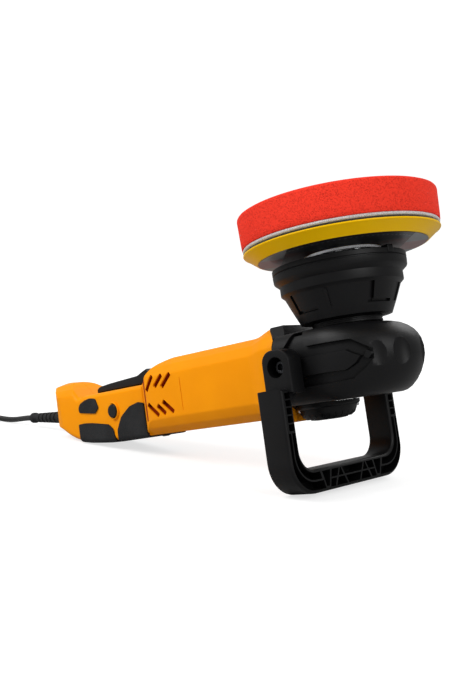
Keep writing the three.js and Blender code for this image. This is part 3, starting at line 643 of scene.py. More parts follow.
def combined(base: Mesh, steps: Steps) -> Mesh:
    """Joins shapes to a body and cuts shapes from it, in order.

    Args:
        base: the body.
        steps: pairs of what to do and the shape it is done with.

    Returns:
        The resulting closed mesh.
    """
    body = as_object(base, "working_body")
    helpers = []
    for operation, shape in steps:
        helper = as_object(shape, "working_shape")
        modifier = body.modifiers.new("work", "BOOLEAN")
        modifier.operation = operation.value
        modifier.solver = "EXACT"
        modifier.object = helper
        helpers.append(helper)
    bpy.context.view_layer.update()
    result = body.evaluated_get(bpy.context.evaluated_depsgraph_get()).to_mesh()
    bm = bmesh.new()
    bm.from_mesh(result)
    for used in (body, *helpers):
        mesh = used.data
        bpy.data.objects.remove(used)
        bpy.data.meshes.remove(mesh)
    bmesh.ops.remove_doubles(bm, verts=bm.verts[:], dist=WELD)
    bmesh.ops.dissolve_degenerate(bm, edges=bm.edges[:], dist=WELD)
    return bm


def joined(parts: Sequence[Mesh]) -> Mesh:
    """Several separate shapes in one mesh.

    Args:
        parts: the shapes, which are used up.

    Returns:
        The mesh that holds them all.
    """
    whole = bmesh.new()
    for part in parts:
        mesh = bpy.data.meshes.new("working")
        part.to_mesh(mesh)
        part.free()
        whole.from_mesh(mesh)
        bpy.data.meshes.remove(mesh)
    return whole


def piece(bm: Mesh, name: str, material: bpy.types.Material, body: str = "root",
          stands_for: Sequence[str] = (), bevel: float = 0.0, crease: float = 32.0,
          stand: Matrix = TOOL) -> bpy.types.Object:
    """Finishes a piece in place.

    Args:
        bm: its shape in millimetres.
        name: the piece's name.
        material: its finish.
        body: the moving body it rides on.
        stands_for: CAD nodes it is shown instead of.
        bevel: width in mm of the small round on sharp edges.
        crease: angle in degrees past which an edge stays sharp.
        stand: brings its millimetres to the bench.

    Returns:
        The piece.
    """
    made = as_object(moved(bm, stand), name)
    made.data.materials.append(material)
    made.data.shade_smooth()
    made.data.set_sharp_from_angle(angle=math.radians(crease))
    if bevel:
        rounder = made.modifiers.new("small_round", "BEVEL")
        rounder.width = bevel * MM
        rounder.segments = 2
        rounder.limit_method = "ANGLE"
        rounder.angle_limit = math.radians(crease)
        rounder.harden_normals = True
    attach(made, body)
    if stands_for:
        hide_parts(*stands_for)
    log.info("piece %s: %d faces", name, len(made.data.polygons))
    return made


# ------------------------------------------------------------------ stage, camera and lead
@dataclass
class Stage:
    """The pale bench, the soft lights and the camera."""

    radius: float = 9.0
    ambient: float = 0.42
    backdrop: float = 1.05
    lamps: tuple[tuple[str, Point3, Point3, float, float], ...] = (
        ("key_softbox", (-0.75, -1.35, 1.5), (-0.02, 0.0, 0.12), 1.1, 30.0),
        ("right_softbox", (1.45, -0.35, 0.9), (0.1, 0.0, 0.14), 0.8, 10.0),
        ("back_softbox", (-0.2, 1.5, 1.5), (0.0, 0.0, 0.1), 1.4, 15.0))
    lens: float = 45.33
    eye: Point3 = (0.563285, -0.5263, 0.142626)
    eye_axes: tuple[Point3, ...] = (
        (0.715797, 0.698287, 0.005551), (-0.034896, 0.027699, 0.999007), (0.697427, -0.715288, 0.044268))

    def build(self) -> None:
        """Makes the bench, the lights and the white surroundings."""
        bm = bmesh.new()
        bmesh.ops.create_circle(bm, cap_ends=True, radius=self.radius, segments=64)
        floor = as_object(bm, "bench_floor")
        shader = Shader("pale_bench")
        away = shader.node("VectorMath", {"operation": "LENGTH"}, [shader.place()], "Value")
        seen = shader.node("LightPath", output="Is Camera Ray")
        glow = shader.mix((0.0, 0.0, 0.0), (0.98, 0.98, 0.98), seen * (away.rise(0.3, 1.8) * 0.3 + 0.7))
        floor.data.materials.append(shader.dress(Base_Color=(0.42, 0.42, 0.42), Roughness=0.9,
                                                 Emission_Color=glow, Emission_Strength=1.0))
        for lamp in self.lamps:
            self.light(*lamp)
        world = bpy.data.worlds.new("studio")
        world.use_nodes = True
        sky = world.node_tree.nodes["Background"]
        seen = world.node_tree.nodes.new("ShaderNodeLightPath").outputs["Is Camera Ray"]
        share = world.node_tree.nodes.new("ShaderNodeMapRange")
        share.inputs["To Min"].default_value = self.ambient
        share.inputs["To Max"].default_value = self.backdrop
        world.node_tree.links.new(seen, share.inputs["Value"])
        world.node_tree.links.new(share.outputs[0], sky.inputs["Strength"])
        sky.inputs["Color"].default_value = (1.0, 1.0, 1.0, 1.0)
        bpy.context.scene.world = world
        bpy.context.scene.view_settings.view_transform = "Standard"

    def light(self, name: str, place: Sequence[float], target: Sequence[float], size: float,
              power: float) -> None:
        """Hangs one square soft light.

        Args:
            name: its name.
            place: where it hangs, in metres.
            target: the point it faces.
            size: its side.
            power: watts.
        """
        data = bpy.data.lights.new(name, "AREA")
        data.size = size
        data.energy = power
        lamp = bpy.data.objects.new(name, data)
        lamp.location = place
        lamp.rotation_euler = (Vector(target) - Vector(place)).to_track_quat("-Z", "Y").to_euler()
        bpy.context.scene.collection.objects.link(lamp)

    def camera(self) -> None:
        """Sets the camera low at the pad's front corner."""
        data = bpy.data.cameras.new("camera")
        data.lens = self.lens
        data.sensor_width = 36.0
        data.clip_start = 0.01
        made = bpy.data.objects.new("camera", data)
        turn = Matrix(self.eye_axes).transposed().to_4x4()
        made.matrix_world = Matrix.Translation(self.eye) @ turn
        bpy.context.scene.collection.objects.link(made)
        bpy.context.scene.camera = made


def ease(share: float) -> float:
    """A smooth step over a share of 0 to 1."""
    return share * share * (3 - 2 * share)


@dataclass
class Lead:
    """The mains lead: relief, stretch along the bench, tied coil and plug."""

    diameter: float = 6.2
    coil_centre: Point2 = (-352.0, -60.0)
    radii: Point3 = (43.4, 37.2, 31.0)
    first_layer: float = 3.15
    tie_bearing: float = 75.0
    start: tuple[Point3, ...] = (
        (-246.1, -1.4, 10.3), (-256, -1.4, 9.15), (-268, -1.4, 7.2), (-282, -1.4, 4.9),
        (-296, -1.5, 3.5), (-310, -1.9, 3.15), (-324, -2.4, 3.15), (-337, -3.4, 3.15),
        (-352.5, -3.6, 3.15), (-366.5, -6.9, 3.15), (-379.3, -14, 3.15), (-389.2, -23.6, 3.15),
        (-395.4, -35.1, 3.15))
    tail: tuple[Point3, ...] = (
        (-364.9, -108.3, 15.4), (-352, -111.7, 14.2), (-340, -113.8, 12), (-329, -114.8, 9.6),
        (-318.4, -115, 8.45))

    def wound(self, angle: float) -> tuple[float, float]:
        """The winding's radius and height at an angle past its first point.

        Args:
            angle: degrees wound so far, from 150 to 2775.

        Returns:
            Radius and height in millimetres.
        """
        outer, middle, inner = self.radii
        high = self.first_layer
        d = self.diameter
        if angle <= 240:
            return outer + 6.5 * (1 - ease((angle - 150) / 90)), high
        for past, low, to in ((510, outer, middle), (870, middle, inner)):
            if angle <= past:
                return low, high
            if angle <= past + 90:
                return low + (to - low) * ease((angle - past) / 90), high
        if angle <= 1230:
            return inner, high
        if angle <= 1320:
            beside = self.wound(angle - 360)[0] - inner
            return inner, high + math.sqrt(max(d * d - beside * beside, 0.0))
        if angle <= 1590:
            return inner, high + d
        if angle <= 1680:
            below = high + d - self.wound(angle - 360)[1]
            return inner + math.sqrt(max(d * d - below * below, 0.0)), high + d
        if angle <= 1950:
            return middle, high + d
        if angle <= 2040:
            return middle + d * ease((angle - 1950) / 90), high + d
        if angle <= 2310:
            return outer, high + d
        if angle <= 2400:
            beside = outer - self.wound(angle - 360)[0]
            return outer, high + d + math.sqrt(max(d * d - beside * beside, 0.0))
        if angle <= 2685:
            return outer, high + 2 * d
        return outer + 6.6 * ease((angle - 2685) / 90), high + 2 * d

    def route(self) -> list[Vector]:
        """The whole lead's centreline, in metres.

        Returns:
            Its points in order, from the grip to the plug.
        """
        points = [Vector(p) for p in self.start]
        for angle in range(165, 2775, 15):
            radius, height = self.wound(angle)
            turn = math.radians(angle)
            points.append(Vector((self.coil_centre[0] + radius * math.cos(turn),
                                  self.coil_centre[1] + radius * math.sin(turn), height)))
        points += [Vector(p) for p in self.tail]
        return [p * MM for p in points]

    def build(self, relief: bpy.types.Object, plug: bpy.types.Object, tie: bpy.types.Object) -> None:
        """Args:
            relief: the sleeve at the grip; not used.
            plug: the plug on its far end; not used.
            tie: the strap round the coil; not used.
        """
        curve = bpy.data.curves.new("mains_lead", "CURVE")
        curve.dimensions = "3D"
        curve.bevel_depth = self.diameter / 2 * MM
        curve.bevel_resolution = 3
        curve.resolution_u = 3
        spline = curve.splines.new("BEZIER")
        points = self.route()
        spline.bezier_points.add(len(points) - 1)
        for knot, point in zip(spline.bezier_points, points):
            knot.co = point
            knot.handle_left_type = knot.handle_right_type = "AUTO"
        lead = bpy.data.objects.new("mains_lead", curve)
        bpy.context.scene.collection.objects.link(lead)
        curve.materials.append(LEAD_JACKET.material())
        curve.use_fill_caps = True
        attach(lead, "root")
        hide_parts("cord_tube", "cord_coil", "cord_tail")

    def build_tie(self) -> bpy.types.Object:
        """Straps the coil with a flat band.

        Returns:
            The band.
        """
        strap = slab([(26.9, 0.1), (47.4, 0.1), (47.4, 19.5), (26.9, 19.5)], Axis.Y, -5.5, 5.5,
                     {0: 1.6, 1: 2.4, 2: 5.0, 3: 5.0}, 5, 0.5, 2)
        inner = slab([(27.8, 0.9), (46.5, 0.9), (46.5, 18.7), (27.8, 18.7)], Axis.Y, -9, 9,
                     {0: 1.2, 1: 1.6, 2: 4.2, 3: 4.2}, 5)
        band = moved(combined(strap, [(Work.CUT, inner)]), spot((*self.coil_centre, 0), self.tie_bearing))
        return piece(band, "coil_tie", HOOKS.material(), stand=BENCH)

    def build_plug(self) -> bpy.types.Object:
        """A moulded two-pin plug lying flat, with a waisted grip and a ribbed sleeve.

        Returns:
            The plug, which carries its pins.
        """
        x, y, z = -300.0, -115.0, 8.4
        body = slab([(x, y - 7), (x, y + 7), (x + 11, y + 14.5), (x + 24, y + 15.2), (x + 36, y + 17.5),
                     (x + 42, y + 13.5), (x + 42, y - 13.5), (x + 36, y - 17.5), (x + 24, y - 15.2),
                     (x + 11, y - 14.5)], Axis.Z, z - 8, z + 8, None, 5, 3.4, 5)
        rings = [(0.0, x + 6), (6.6, x + 6)]
        for i in range(5):
            radius = 6.4 - 0.6 * i
            rings += [(radius, x - 3.4 * i), (radius, x - 3.4 * i - 1.9), (radius - 1.0, x - 3.4 * i - 2.1),
                      (radius - 1.0, x - 3.4 * i - 3.3)]
        rings += [(0.0, x - 18.0)]
        sleeve = turned(rings, Axis.X, (0, y, z), 32)
        plug_body = piece(joined([body, sleeve]), "plug_body", BLACK.material(),
                          stands_for=["plug"], stand=BENCH)
        pins = joined([turned([(0, x + 39), (2.4, x + 39), (2.4, x + 60.4), (1.8, x + 61), (0, x + 61)],
                              Axis.X, (0, y + side * 9.5, z), 32) for side in (-1, 1)])
        blades = piece(pins, "plug_pins", STEEL.material(), stand=BENCH)
        blades.parent = plug_body
        return plug_body

    def build_relief(self) -> bpy.types.Object:
        """The tapered sleeve at the heel of the grip, cut into segments.

        Returns:
            The sleeve.
        """
        rows, length, root, tip = 6, 58.0, 6.4, 5.0
        profile = [(0.0, 14.0), (root, 14.0), (root, -0.5)]
        pitch = (length - 12) / rows
        for i in range(rows):
            radius = root + (tip - root) * i / rows
            start = -2.5 - pitch * i
            profile += [(radius, start), (radius - 0.25, start - pitch + 2.6),
                        (radius - 1.5, start - pitch + 2.2), (radius - 1.5, start - pitch + 0.4)]
        profile += [(tip, -length + 7), (tip + 0.7, -length + 6), (tip + 0.7, -length + 1.2),
                    (tip - 0.5, -length), (0.0, -length)]
        droop = Matrix.Translation((-383.0, 0, -1.7)) @ Matrix.Rotation(math.radians(5.0), 4, "Y")
        sleeve = moved(turned(profile, Axis.X, (0, 0, 0), 40), droop)
        return piece(sleeve, "cord_sleeve", RUBBER.material(), stands_for=["strain_relief"],
                     bevel=0.3)


# ------------------------------------------------------------------ pad and backing plate
@dataclass
class PadStack:
    """Foam pad, its two gripping layers, the backing plate and the hub under it."""

    radius: float = 75.0
    foam_low: float = 96.7
    foam_high: float = 121.9
    hub_radius: float = 25.0
    teeth: int = 12
    label_across: Point2 = (0.709, 0.705)
    label_behind: Point2 = (0.718, 0.696)

    def build(self) -> None:
        """Makes every piece that turns with the pad."""
        self.foam()
        self.layers()
        self.plate()
        self.hub()

    def foam(self) -> None:
        """The red foam: a straight-sided soft disc with a small roll at its rim."""
        low, high, r = self.foam_low, self.foam_high, self.radius
        profile = [(0, low), (r - 0.2, low), (r + 0.2, low + 0.5), (r + 0.5, low + 4), (r + 1.2, high - 3.0),
                   (r + 1.0, high - 1.9), (r + 0.3, high - 0.9), (r - 1.2, high - 0.2), (r - 3, high),
                   (24, high), (0, high - 0.3)]
        bm = turned(profile, Axis.Z, PAD_AXIS, 160)
        disc = piece(bm, "foam_disc", FOAM.material(), "pad_unit", ["foam_pad"], crease=70)

    def layers(self) -> None:
        """The pale loops glued to the foam, and the dark hooks that hold them."""
        r = self.radius
        loops = turned([(0, 94.4), (r - 1.2, 94.4), (r - 0.3, 94.9), (r - 0.1, 95.8), (r - 0.5, 96.5),
                        (0, 96.5)], Axis.Z, PAD_AXIS, 160)
        piece(loops, "loop_cloth", LOOPS.material(), "pad_unit", ["loop_layer"], crease=70)
        hooks = turned([(0, 93.0), (r - 1.6, 93.0), (r - 1.2, 93.5), (r - 1.6, 94.2), (0, 94.2)],
                       Axis.Z, PAD_AXIS, 128)
        piece(hooks, "hook_cloth", HOOKS.material(), "pad_unit", ["hook_layer"], crease=70)

    def plate(self) -> None:
        """The yellow plate: a flat cone with a bright lip, and the label on its underside."""
        profile = [(4.5, 84.95), (64.6, 84.95), (65.2, 84.7), (65.8, 85.0), (73.8, 91.2), (74.7, 91.5),
                   (75.0, 92.0), (74.9, 92.6), (74.4, 92.8), (30, 92.8), (26, 88.0), (4.5, 88.0)]
        piece(turned(profile, Axis.Z, PAD_AXIS, 160), "plate_moulding", YELLOW.material(), "pad_unit",
              ["backing_plate"], crease=24)
        label = turned([(30, 84.45), (64.2, 84.45), (64.5, 84.7), (64.2, 84.93), (30, 84.93)], Axis.Z,
                       PAD_AXIS, 128)
        piece(label, "plate_label", self.label_material(), "pad_unit", ["label_disc"])

    def label_material(self) -> bpy.types.Material:
        """A black middle over dark red, grey and dull red ends, and a ring of fine ticks.

        Returns:
            The material.
        """
        shader = Shader("label_print")
        x, y, _ = shader.tool()
        x, y = x - PAD_AXIS.x, y - PAD_AXIS.y
        across = x * self.label_across[0] + y * self.label_across[1]
        behind = y * self.label_behind[0] - x * self.label_behind[1]
        ends = abs(across) > 46.0
        grey, wine, black = (0.16, 0.165, 0.17), (0.2, 0.085, 0.08), (0.006, 0.006, 0.008)
        stripe = shader.mix(grey, wine, abs(behind - 5.0) < 16.0)
        middle = shader.mix(black, (0.05, 0.007, 0.004), (abs(behind + 5.0) < 24.0))
        radius = (x * x + y * y).math("SQRT")
        ticks = ((y.math("ARCTAN2", x) * 90.0).math("SINE") > 0.3) * (abs(radius - 57.0) < 0.7)
        colour = shader.mix(middle, (0.35, 0.35, 0.36), ticks * 0.45)
        colour = shader.mix(colour, stripe, ends)
        smudge = shader.noise(70.0, 4.0)
        shader.bump(shader.noise(900.0), 0.02)
        return shader.dress(Base_Color=colour, Roughness=smudge * 0.2 + 0.3, Specular_IOR_Level=0.2)

    def hub(self) -> None:
        """The bright hub ring with its lugs and countersunk holes, open in the middle for the bolt."""
        low, high = 79.95, 83.75
        radius = self.hub_radius
        ring = turned([(4.5, low), (radius - 1.2, low), (radius, low + 1.0), (radius, high - 1.6),
                       (29.6, high - 1.2), (29.8, high + 0.5), (4.5, high + 0.5)], Axis.Z, PAD_AXIS, 96)
        steps = []
        for i in range(self.teeth):
            lug = block((23, -2.4, low + 0.3), (28, 2.4, high), 0.5)
            steps.append((Work.ADD, moved(lug, spot(PAD_AXIS, 360 * i / self.teeth))))
            drill = turned([(0, low - 1), (2.0, low - 1), (1.2, low + 1.2), (0, low + 1.2)], Axis.Z,
                           (20.5, 0, 0), 16)
            steps.append((Work.CUT, moved(drill, spot(PAD_AXIS, 360 * (i + 0.5) / self.teeth))))
        piece(combined(ring, steps), "hub_ring", STEEL.material(), "pad_unit", ["plate_hub"],
              crease=30)


# ------------------------------------------------------------------ shroud over the eccentric
@dataclass
class Shroud:
    """The black skirt between head and pad, and its collar."""

    base: float = 33.2
    top: float = 78.0
    rim: float = 51.0
    tab_bearing: float = -6.0
    recess_bearing: float = -24.0
    rib_bearing: float = -70.0
    slope: float = 23.0

    def build(self) -> None:
        """Makes the skirt with its recessed panels, ribs and the tab on its rim."""
        outer = [(27.0, self.base), (34.6, self.base + 1.2), (35.6, 36.6), (38.6, 43), (43.8, 55.2),
                 (44.2, 55.8), (46.5, 57.8), (46.7, 58.6), (46.7, 64.6), (50.3, 67.7), (50.7, 68.6),
                 (self.rim, 72.8), (50.2, 73.2), (50.2, 73.9), (self.rim, 74.3), (self.rim, self.top - 0.5),
                 (self.rim - 0.5, self.top)]
        inner = [(48.0, self.top), (48.0, 70), (43.5, 66), (43.5, 59), (41, 56.5), (35.4, 43),
                 (32.6, self.base + 3), (13, self.base + 3), (13, self.base)]
        skirt = turned(outer + inner, Axis.Z, (0, 0, 0), 128)
        steps = []
        for quarter in range(4):
            steps += self.recess(self.recess_bearing + 90 * quarter)
            steps.append((Work.ADD, self.on_cone((36.6, -1.0, 41.5), (39.2, 1.0, 55.5),
                                                 self.rib_bearing + 90 * quarter)))
        tab = block((45.5, -3.2, 74.5), (51.6, 3.2, 80.2), 0.8)
        steps.append((Work.ADD, moved(tab, spot((0, 0, 0), self.tab_bearing))))
        piece(combined(skirt, steps), "shroud_skirt", BLACK.material(), "root", ["shroud"],
              crease=30)
        collar = turned([(12, 29.4), (26.4, 29.4), (26.9, 29.8), (26.9, 30.8), (26.2, 31.2), (26.2, 32),
                         (26.9, 32.3), (26.9, 33.0), (12, 33.0)], Axis.Z, (0, 0, 0), 96)
        piece(collar, "neck_collar", BLACK.material(), "root", [])

    def recess(self, middle: float) -> Steps:
        """An L-shaped recess in the cone: a broad upright and a foot that runs round from it.

        Args:
            middle: its bearing about the spindle, in degrees.

        Returns:
            The cuts that make it.
        """
        upright = self.on_cone((35.7, -1.9, 41.0), (50.0, 1.9, 56.5), middle)
        foot = [self.on_cone((36.2, -2.6, 40.6), (50.0, 2.6, 42.9), middle + 6.5 * i) for i in range(5)]
        return [(Work.CUT, shape) for shape in (upright, *foot)]

    def on_cone(self, low: Sequence[float], high: Sequence[float], bearing: float) -> Mesh:
        """A block leaning with the cone.

        Args:
            low: its corner nearest the spindle, before it leans.
            high: the opposite corner.
            bearing: where it stands about the spindle, in degrees.

        Returns:
            The closed shape.
        """
        bm = block(low, high)
        bmesh.ops.rotate(bm, cent=(39.0, 0, 42.0), matrix=Matrix.Rotation(math.radians(self.slope), 3, "Y"),
                         verts=bm.verts[:])
        return moved(bm, spot((0, 0, 0), bearing))


# ------------------------------------------------------------------ gear head
@dataclass
class GearHead:
    """The black head: rounded nose, cheeks with a grooved panel, crest and underside cover."""

    nose: float = 56.5
    half: float = 45.5
    rear: float = -47.85
    rear_half: float = 33.0
    shoulder: float = -40.0
    crest: float = 37.7
    crest_rear: float = -60.0
    cover_x: float = -30.0
    screw_circle: float = 21.5
    notches: int = 24
    prism: Point2 = (30.0, 60.0)  # the side cutters' ends, from the middle plane
    sections: tuple[Point3, ...] = (
        (-25.0, 0.56, 0.80), (-24.2, 0.63, 0.86), (-22.0, 0.71, 0.91), (-18.0, 0.80, 0.95),
        (-12.4, 0.885, 0.98), (-6.0, 0.95, 0.995), (0.0, 0.985, 1.0), (6.0, 0.99, 1.0),
        (12.0, 0.965, 0.998), (16.0, 0.925, 0.99), (19.4, 0.875, 0.975), (23.0, 0.79, 0.945),
        (25.8, 0.69, 0.905), (27.6, 0.58, 0.86), (28.7, 0.46, 0.8), (29.0, 0.36, 0.72))

    def build(self) -> None:
        """Makes the housing and its cover."""
        outer = [(-21, 27), (-12.5, 27), (-8, 15.6), (27, 15.6), (44.5, 4.5), (35, -4.5), (25, -10.8),
                 (-44, -10.8), (-44, 15.4), (-27, 17.4)]
        panel = [(-42, 9.8), (24.5, 9.8), (33.5, 3.4), (29.5, -1.8), (22.5, -6.2), (-42, -6.2)]
        tip = [(36.4, 7.2), (40.0, 4.3), (37.0, 0.4), (34.4, 2.2)]
        steps = [(Work.CUT, self.side_cutter(outer, side, 4.5)) for side in (-1, 1)]
        steps.append((Work.ADD, self.shell(3.4)))
        for side in (-1, 1):
            raised = combined(self.shell(0.3), [(Work.KEEP, self.side_cutter(panel, side, -3.0))])
            facet = combined(self.shell(0.8), [(Work.KEEP, self.side_cutter(tip, side, -1.5))])
            steps += [(Work.ADD, raised), (Work.ADD, facet)]
        steps.append((Work.ADD, self.crest_block()))
        steps.append((Work.ADD, turned([(0, self.rear), (33.0, self.rear), (33.5, self.rear + 0.6),
                                        (33.5, -44.6), (32, -43.6), (0, -43.6)], Axis.X, (0, 0, 0), 96)))
        for side in (-1, 1):
            steps += [(Work.CUT, ball((45.6, side * 31.2, 3.0), (5.2, 8.8, 17.0), side * 46)),
                      (Work.CUT, ball((55.2, side * 14.4, 2.0), (5.0, 8.8, 16.0), side * 23))]
        piece(combined(self.shell(0.0), steps), "head_casting",
              replace(BLACK, name="head_black").material(self.seam, 0.6),
              "root", ["gear_housing"], bevel=0.5, crease=28)
        self.cover()

    def shell(self, inset: float) -> Mesh:
        """The head without its details.

        Args:
            inset: how far its wall stands inside the outer one, in mm.

        Returns:
            The closed shape.
        """
        bm = bmesh.new()
        bmesh.ops.create_circle(bm, cap_ends=False, radius=1.0, segments=96)
        nose, half = self.nose - inset, self.half - inset
        bmesh.ops.scale(bm, vec=(nose, half, 1.0), verts=bm.verts[:])
        behind = [v for v in bm.verts if v.co.x < -1e-4]
        bmesh.ops.delete(bm, geom=behind, context="VERTS")
        ends = []
        for side in (-1, 1):
            last = min((v for v in bm.verts if v.co.y * side > 0),
                       key=lambda v: (abs(v.co.x), abs(v.co.y - side * half)))
            for x, y in ((self.shoulder, half), (self.rear, self.rear_half - inset)):
                following = bm.verts.new((x, side * y, 0.0))
                bm.edges.new((last, following))
                last = following
            ends.append(last)
        bm.edges.new(ends)
        low, high = self.sections[0], self.sections[-1]
        bmesh.ops.translate(bm, vec=(0, 0, low[0] + inset), verts=bm.verts[:])
        self.draw_in(bm, bm.verts[:], low[1], low[2])
        ring, before = bm.edges[:], low
        for section in self.sections[1:]:
            verts, ring = carried_on(bm, ring)
            level = min(max(section[0], low[0] + inset), high[0] - inset)
            bmesh.ops.translate(bm, vec=(0, 0, level - verts[0].co.z), verts=verts)
            self.draw_in(bm, verts, section[1] / before[1], section[2] / before[2])
            before = section
        return sealed(bm)

    def draw_in(self, bm: Mesh, ring: list[bmesh.types.BMVert], long: float, wide: float) -> None:
        """Draws a ring in at the nose and sideways.

        Args:
            bm: the mesh.
            ring: its vertices.
            long: share of its length ahead of the middle.
            wide: share of its width.
        """
        bmesh.ops.scale(bm, vec=(long, 1, 1), verts=[v for v in ring if v.co.x > 0])
        bmesh.ops.scale(bm, vec=(1, wide, 1), verts=ring)

    def side_cutter(self, points: Sequence[Point2], side: int, spread: float) -> Mesh:
        """A tapered prism through one cheek.

        Args:
            points: its outline in x and z at the inner end.
            side: -1 for the near cheek, 1 for the far one.
            spread: how far the outline has grown all round at the outer end.

        Returns:
            The closed shape.
        """
        inner, outer = side * self.prism[0], side * self.prism[1]
        prism = slab(points, Axis.Y, min(inner, outer), max(inner, outer))
        rim = [v for v in prism.verts if abs(v.co.y - outer) < 1e-3]
        xs, zs = [p[0] for p in points], [p[1] for p in points]
        centre = Vector(((min(xs) + max(xs)) / 2, 0, (min(zs) + max(zs)) / 2))
        grow = 1 + spread / (max(xs) - min(xs)) * 2, 1 + spread / (max(zs) - min(zs)) * 2
        bmesh.ops.scale(prism, vec=(grow[0], 1, grow[1]), space=Matrix.Translation(-centre), verts=rim)
        return prism

    def crest_block(self) -> Mesh:
        """The raised block over the motor's end, chamfered at its rear and along its top.

        Returns:
            The closed shape.
        """
        rear = self.crest_rear
        plan = [(-35.5, -self.rear_half), (self.rear, -self.rear_half), (rear, -21), (rear, 21),
                (self.rear, self.rear_half), (-35.5, self.rear_half)]
        side_view = [(rear - 1, 23), (rear - 1, 29.5), (rear + 1.6, 34.4), (-54.0, self.crest),
                     (-41.5, self.crest), (-34, 26.0), (-34, 23)]
        front_view = [(-34, 20), (-34, 27.0), (-24.5, 39), (24.5, 39), (34, 27.0), (34, 20)]
        block_shape = slab(plan, Axis.Z, 24.0, 45.0)
        return combined(block_shape, [(Work.KEEP, slab(side_view, Axis.Y, -40, 40)),
                                      (Work.KEEP, slab(front_view, Axis.X, -70, -30))])

    def seam(self, shader: Shader) -> Socket:
        """The fine parting line round the nose, as a height.

        Args:
            shader: the material it is made in.

        Returns:
            1 on the skin and 0 in the line.
        """
        x, _, z = shader.tool()
        return 1.0 - (abs(z - 15.4) < 0.35) * (x > 30.0)

    def cover(self) -> None:
        """The domed cover under the gears, with a ring groove, notches and screw seats."""
        top = -25.3
        profile = [(0, top), (25, top), (25, top - 2.2), (24.4, top - 3), (22.6, top - 4.0), (21.8, -32.0),
                   (20.2, -35.2), (17.2, -37.3), (16.2, -36.5), (15.0, -36.6), (14.2, -38.0), (10, -38.5),
                   (0, -38.5)]
        dome = turned(profile, Axis.Z, (self.cover_x, 0, 0), 96)
        steps = []
        for i in range(self.notches):
            notch = block((16.8, -0.25, -40), (25.0, 0.25, -33.4))
            bearing = 360 * (i + 0.5) / self.notches
            steps.append((Work.CUT, moved(notch, spot((self.cover_x, 0, 0), bearing))))
        for angle in (45, 225):
            x = self.cover_x + self.screw_circle * math.cos(math.radians(angle))
            y = self.screw_circle * math.sin(math.radians(angle))
            steps.append((Work.CUT, rod(3.2, -40, -28.3, Axis.Z, (x, y, 0))))
            self.screw((x, y))
        piece(combined(dome, steps), "underside_cover", BLACK.material(), "root", ["head_cover"],
              bevel=0.3, crease=30)

    def screw(self, place: Point2) -> None:
        """A cover screw with a six-lobed socket.

        Args:
            place: its middle in x and y.
        """
        profile = [(0, -30.9), (2.1, -30.9), (2.8, -30.1), (2.8, -28.6), (1.4, -28.6), (1.4, -20), (0, -20)]
        head = turned(profile, Axis.Z, (*place, 0), 32)
        steps = []
        for i in range(3):
            lobe = block((-1.35, -0.42, -32), (1.35, 0.42, -29.9))
            steps.append((Work.CUT, moved(lobe, spot((*place, 0), 60 * i))))
        number = 1 if place[1] > 0 else 2
        piece(combined(head, steps), f"cover_screw_head_{number}", STEEL.material(), "root",
              [f"cover_screw_{number}"])


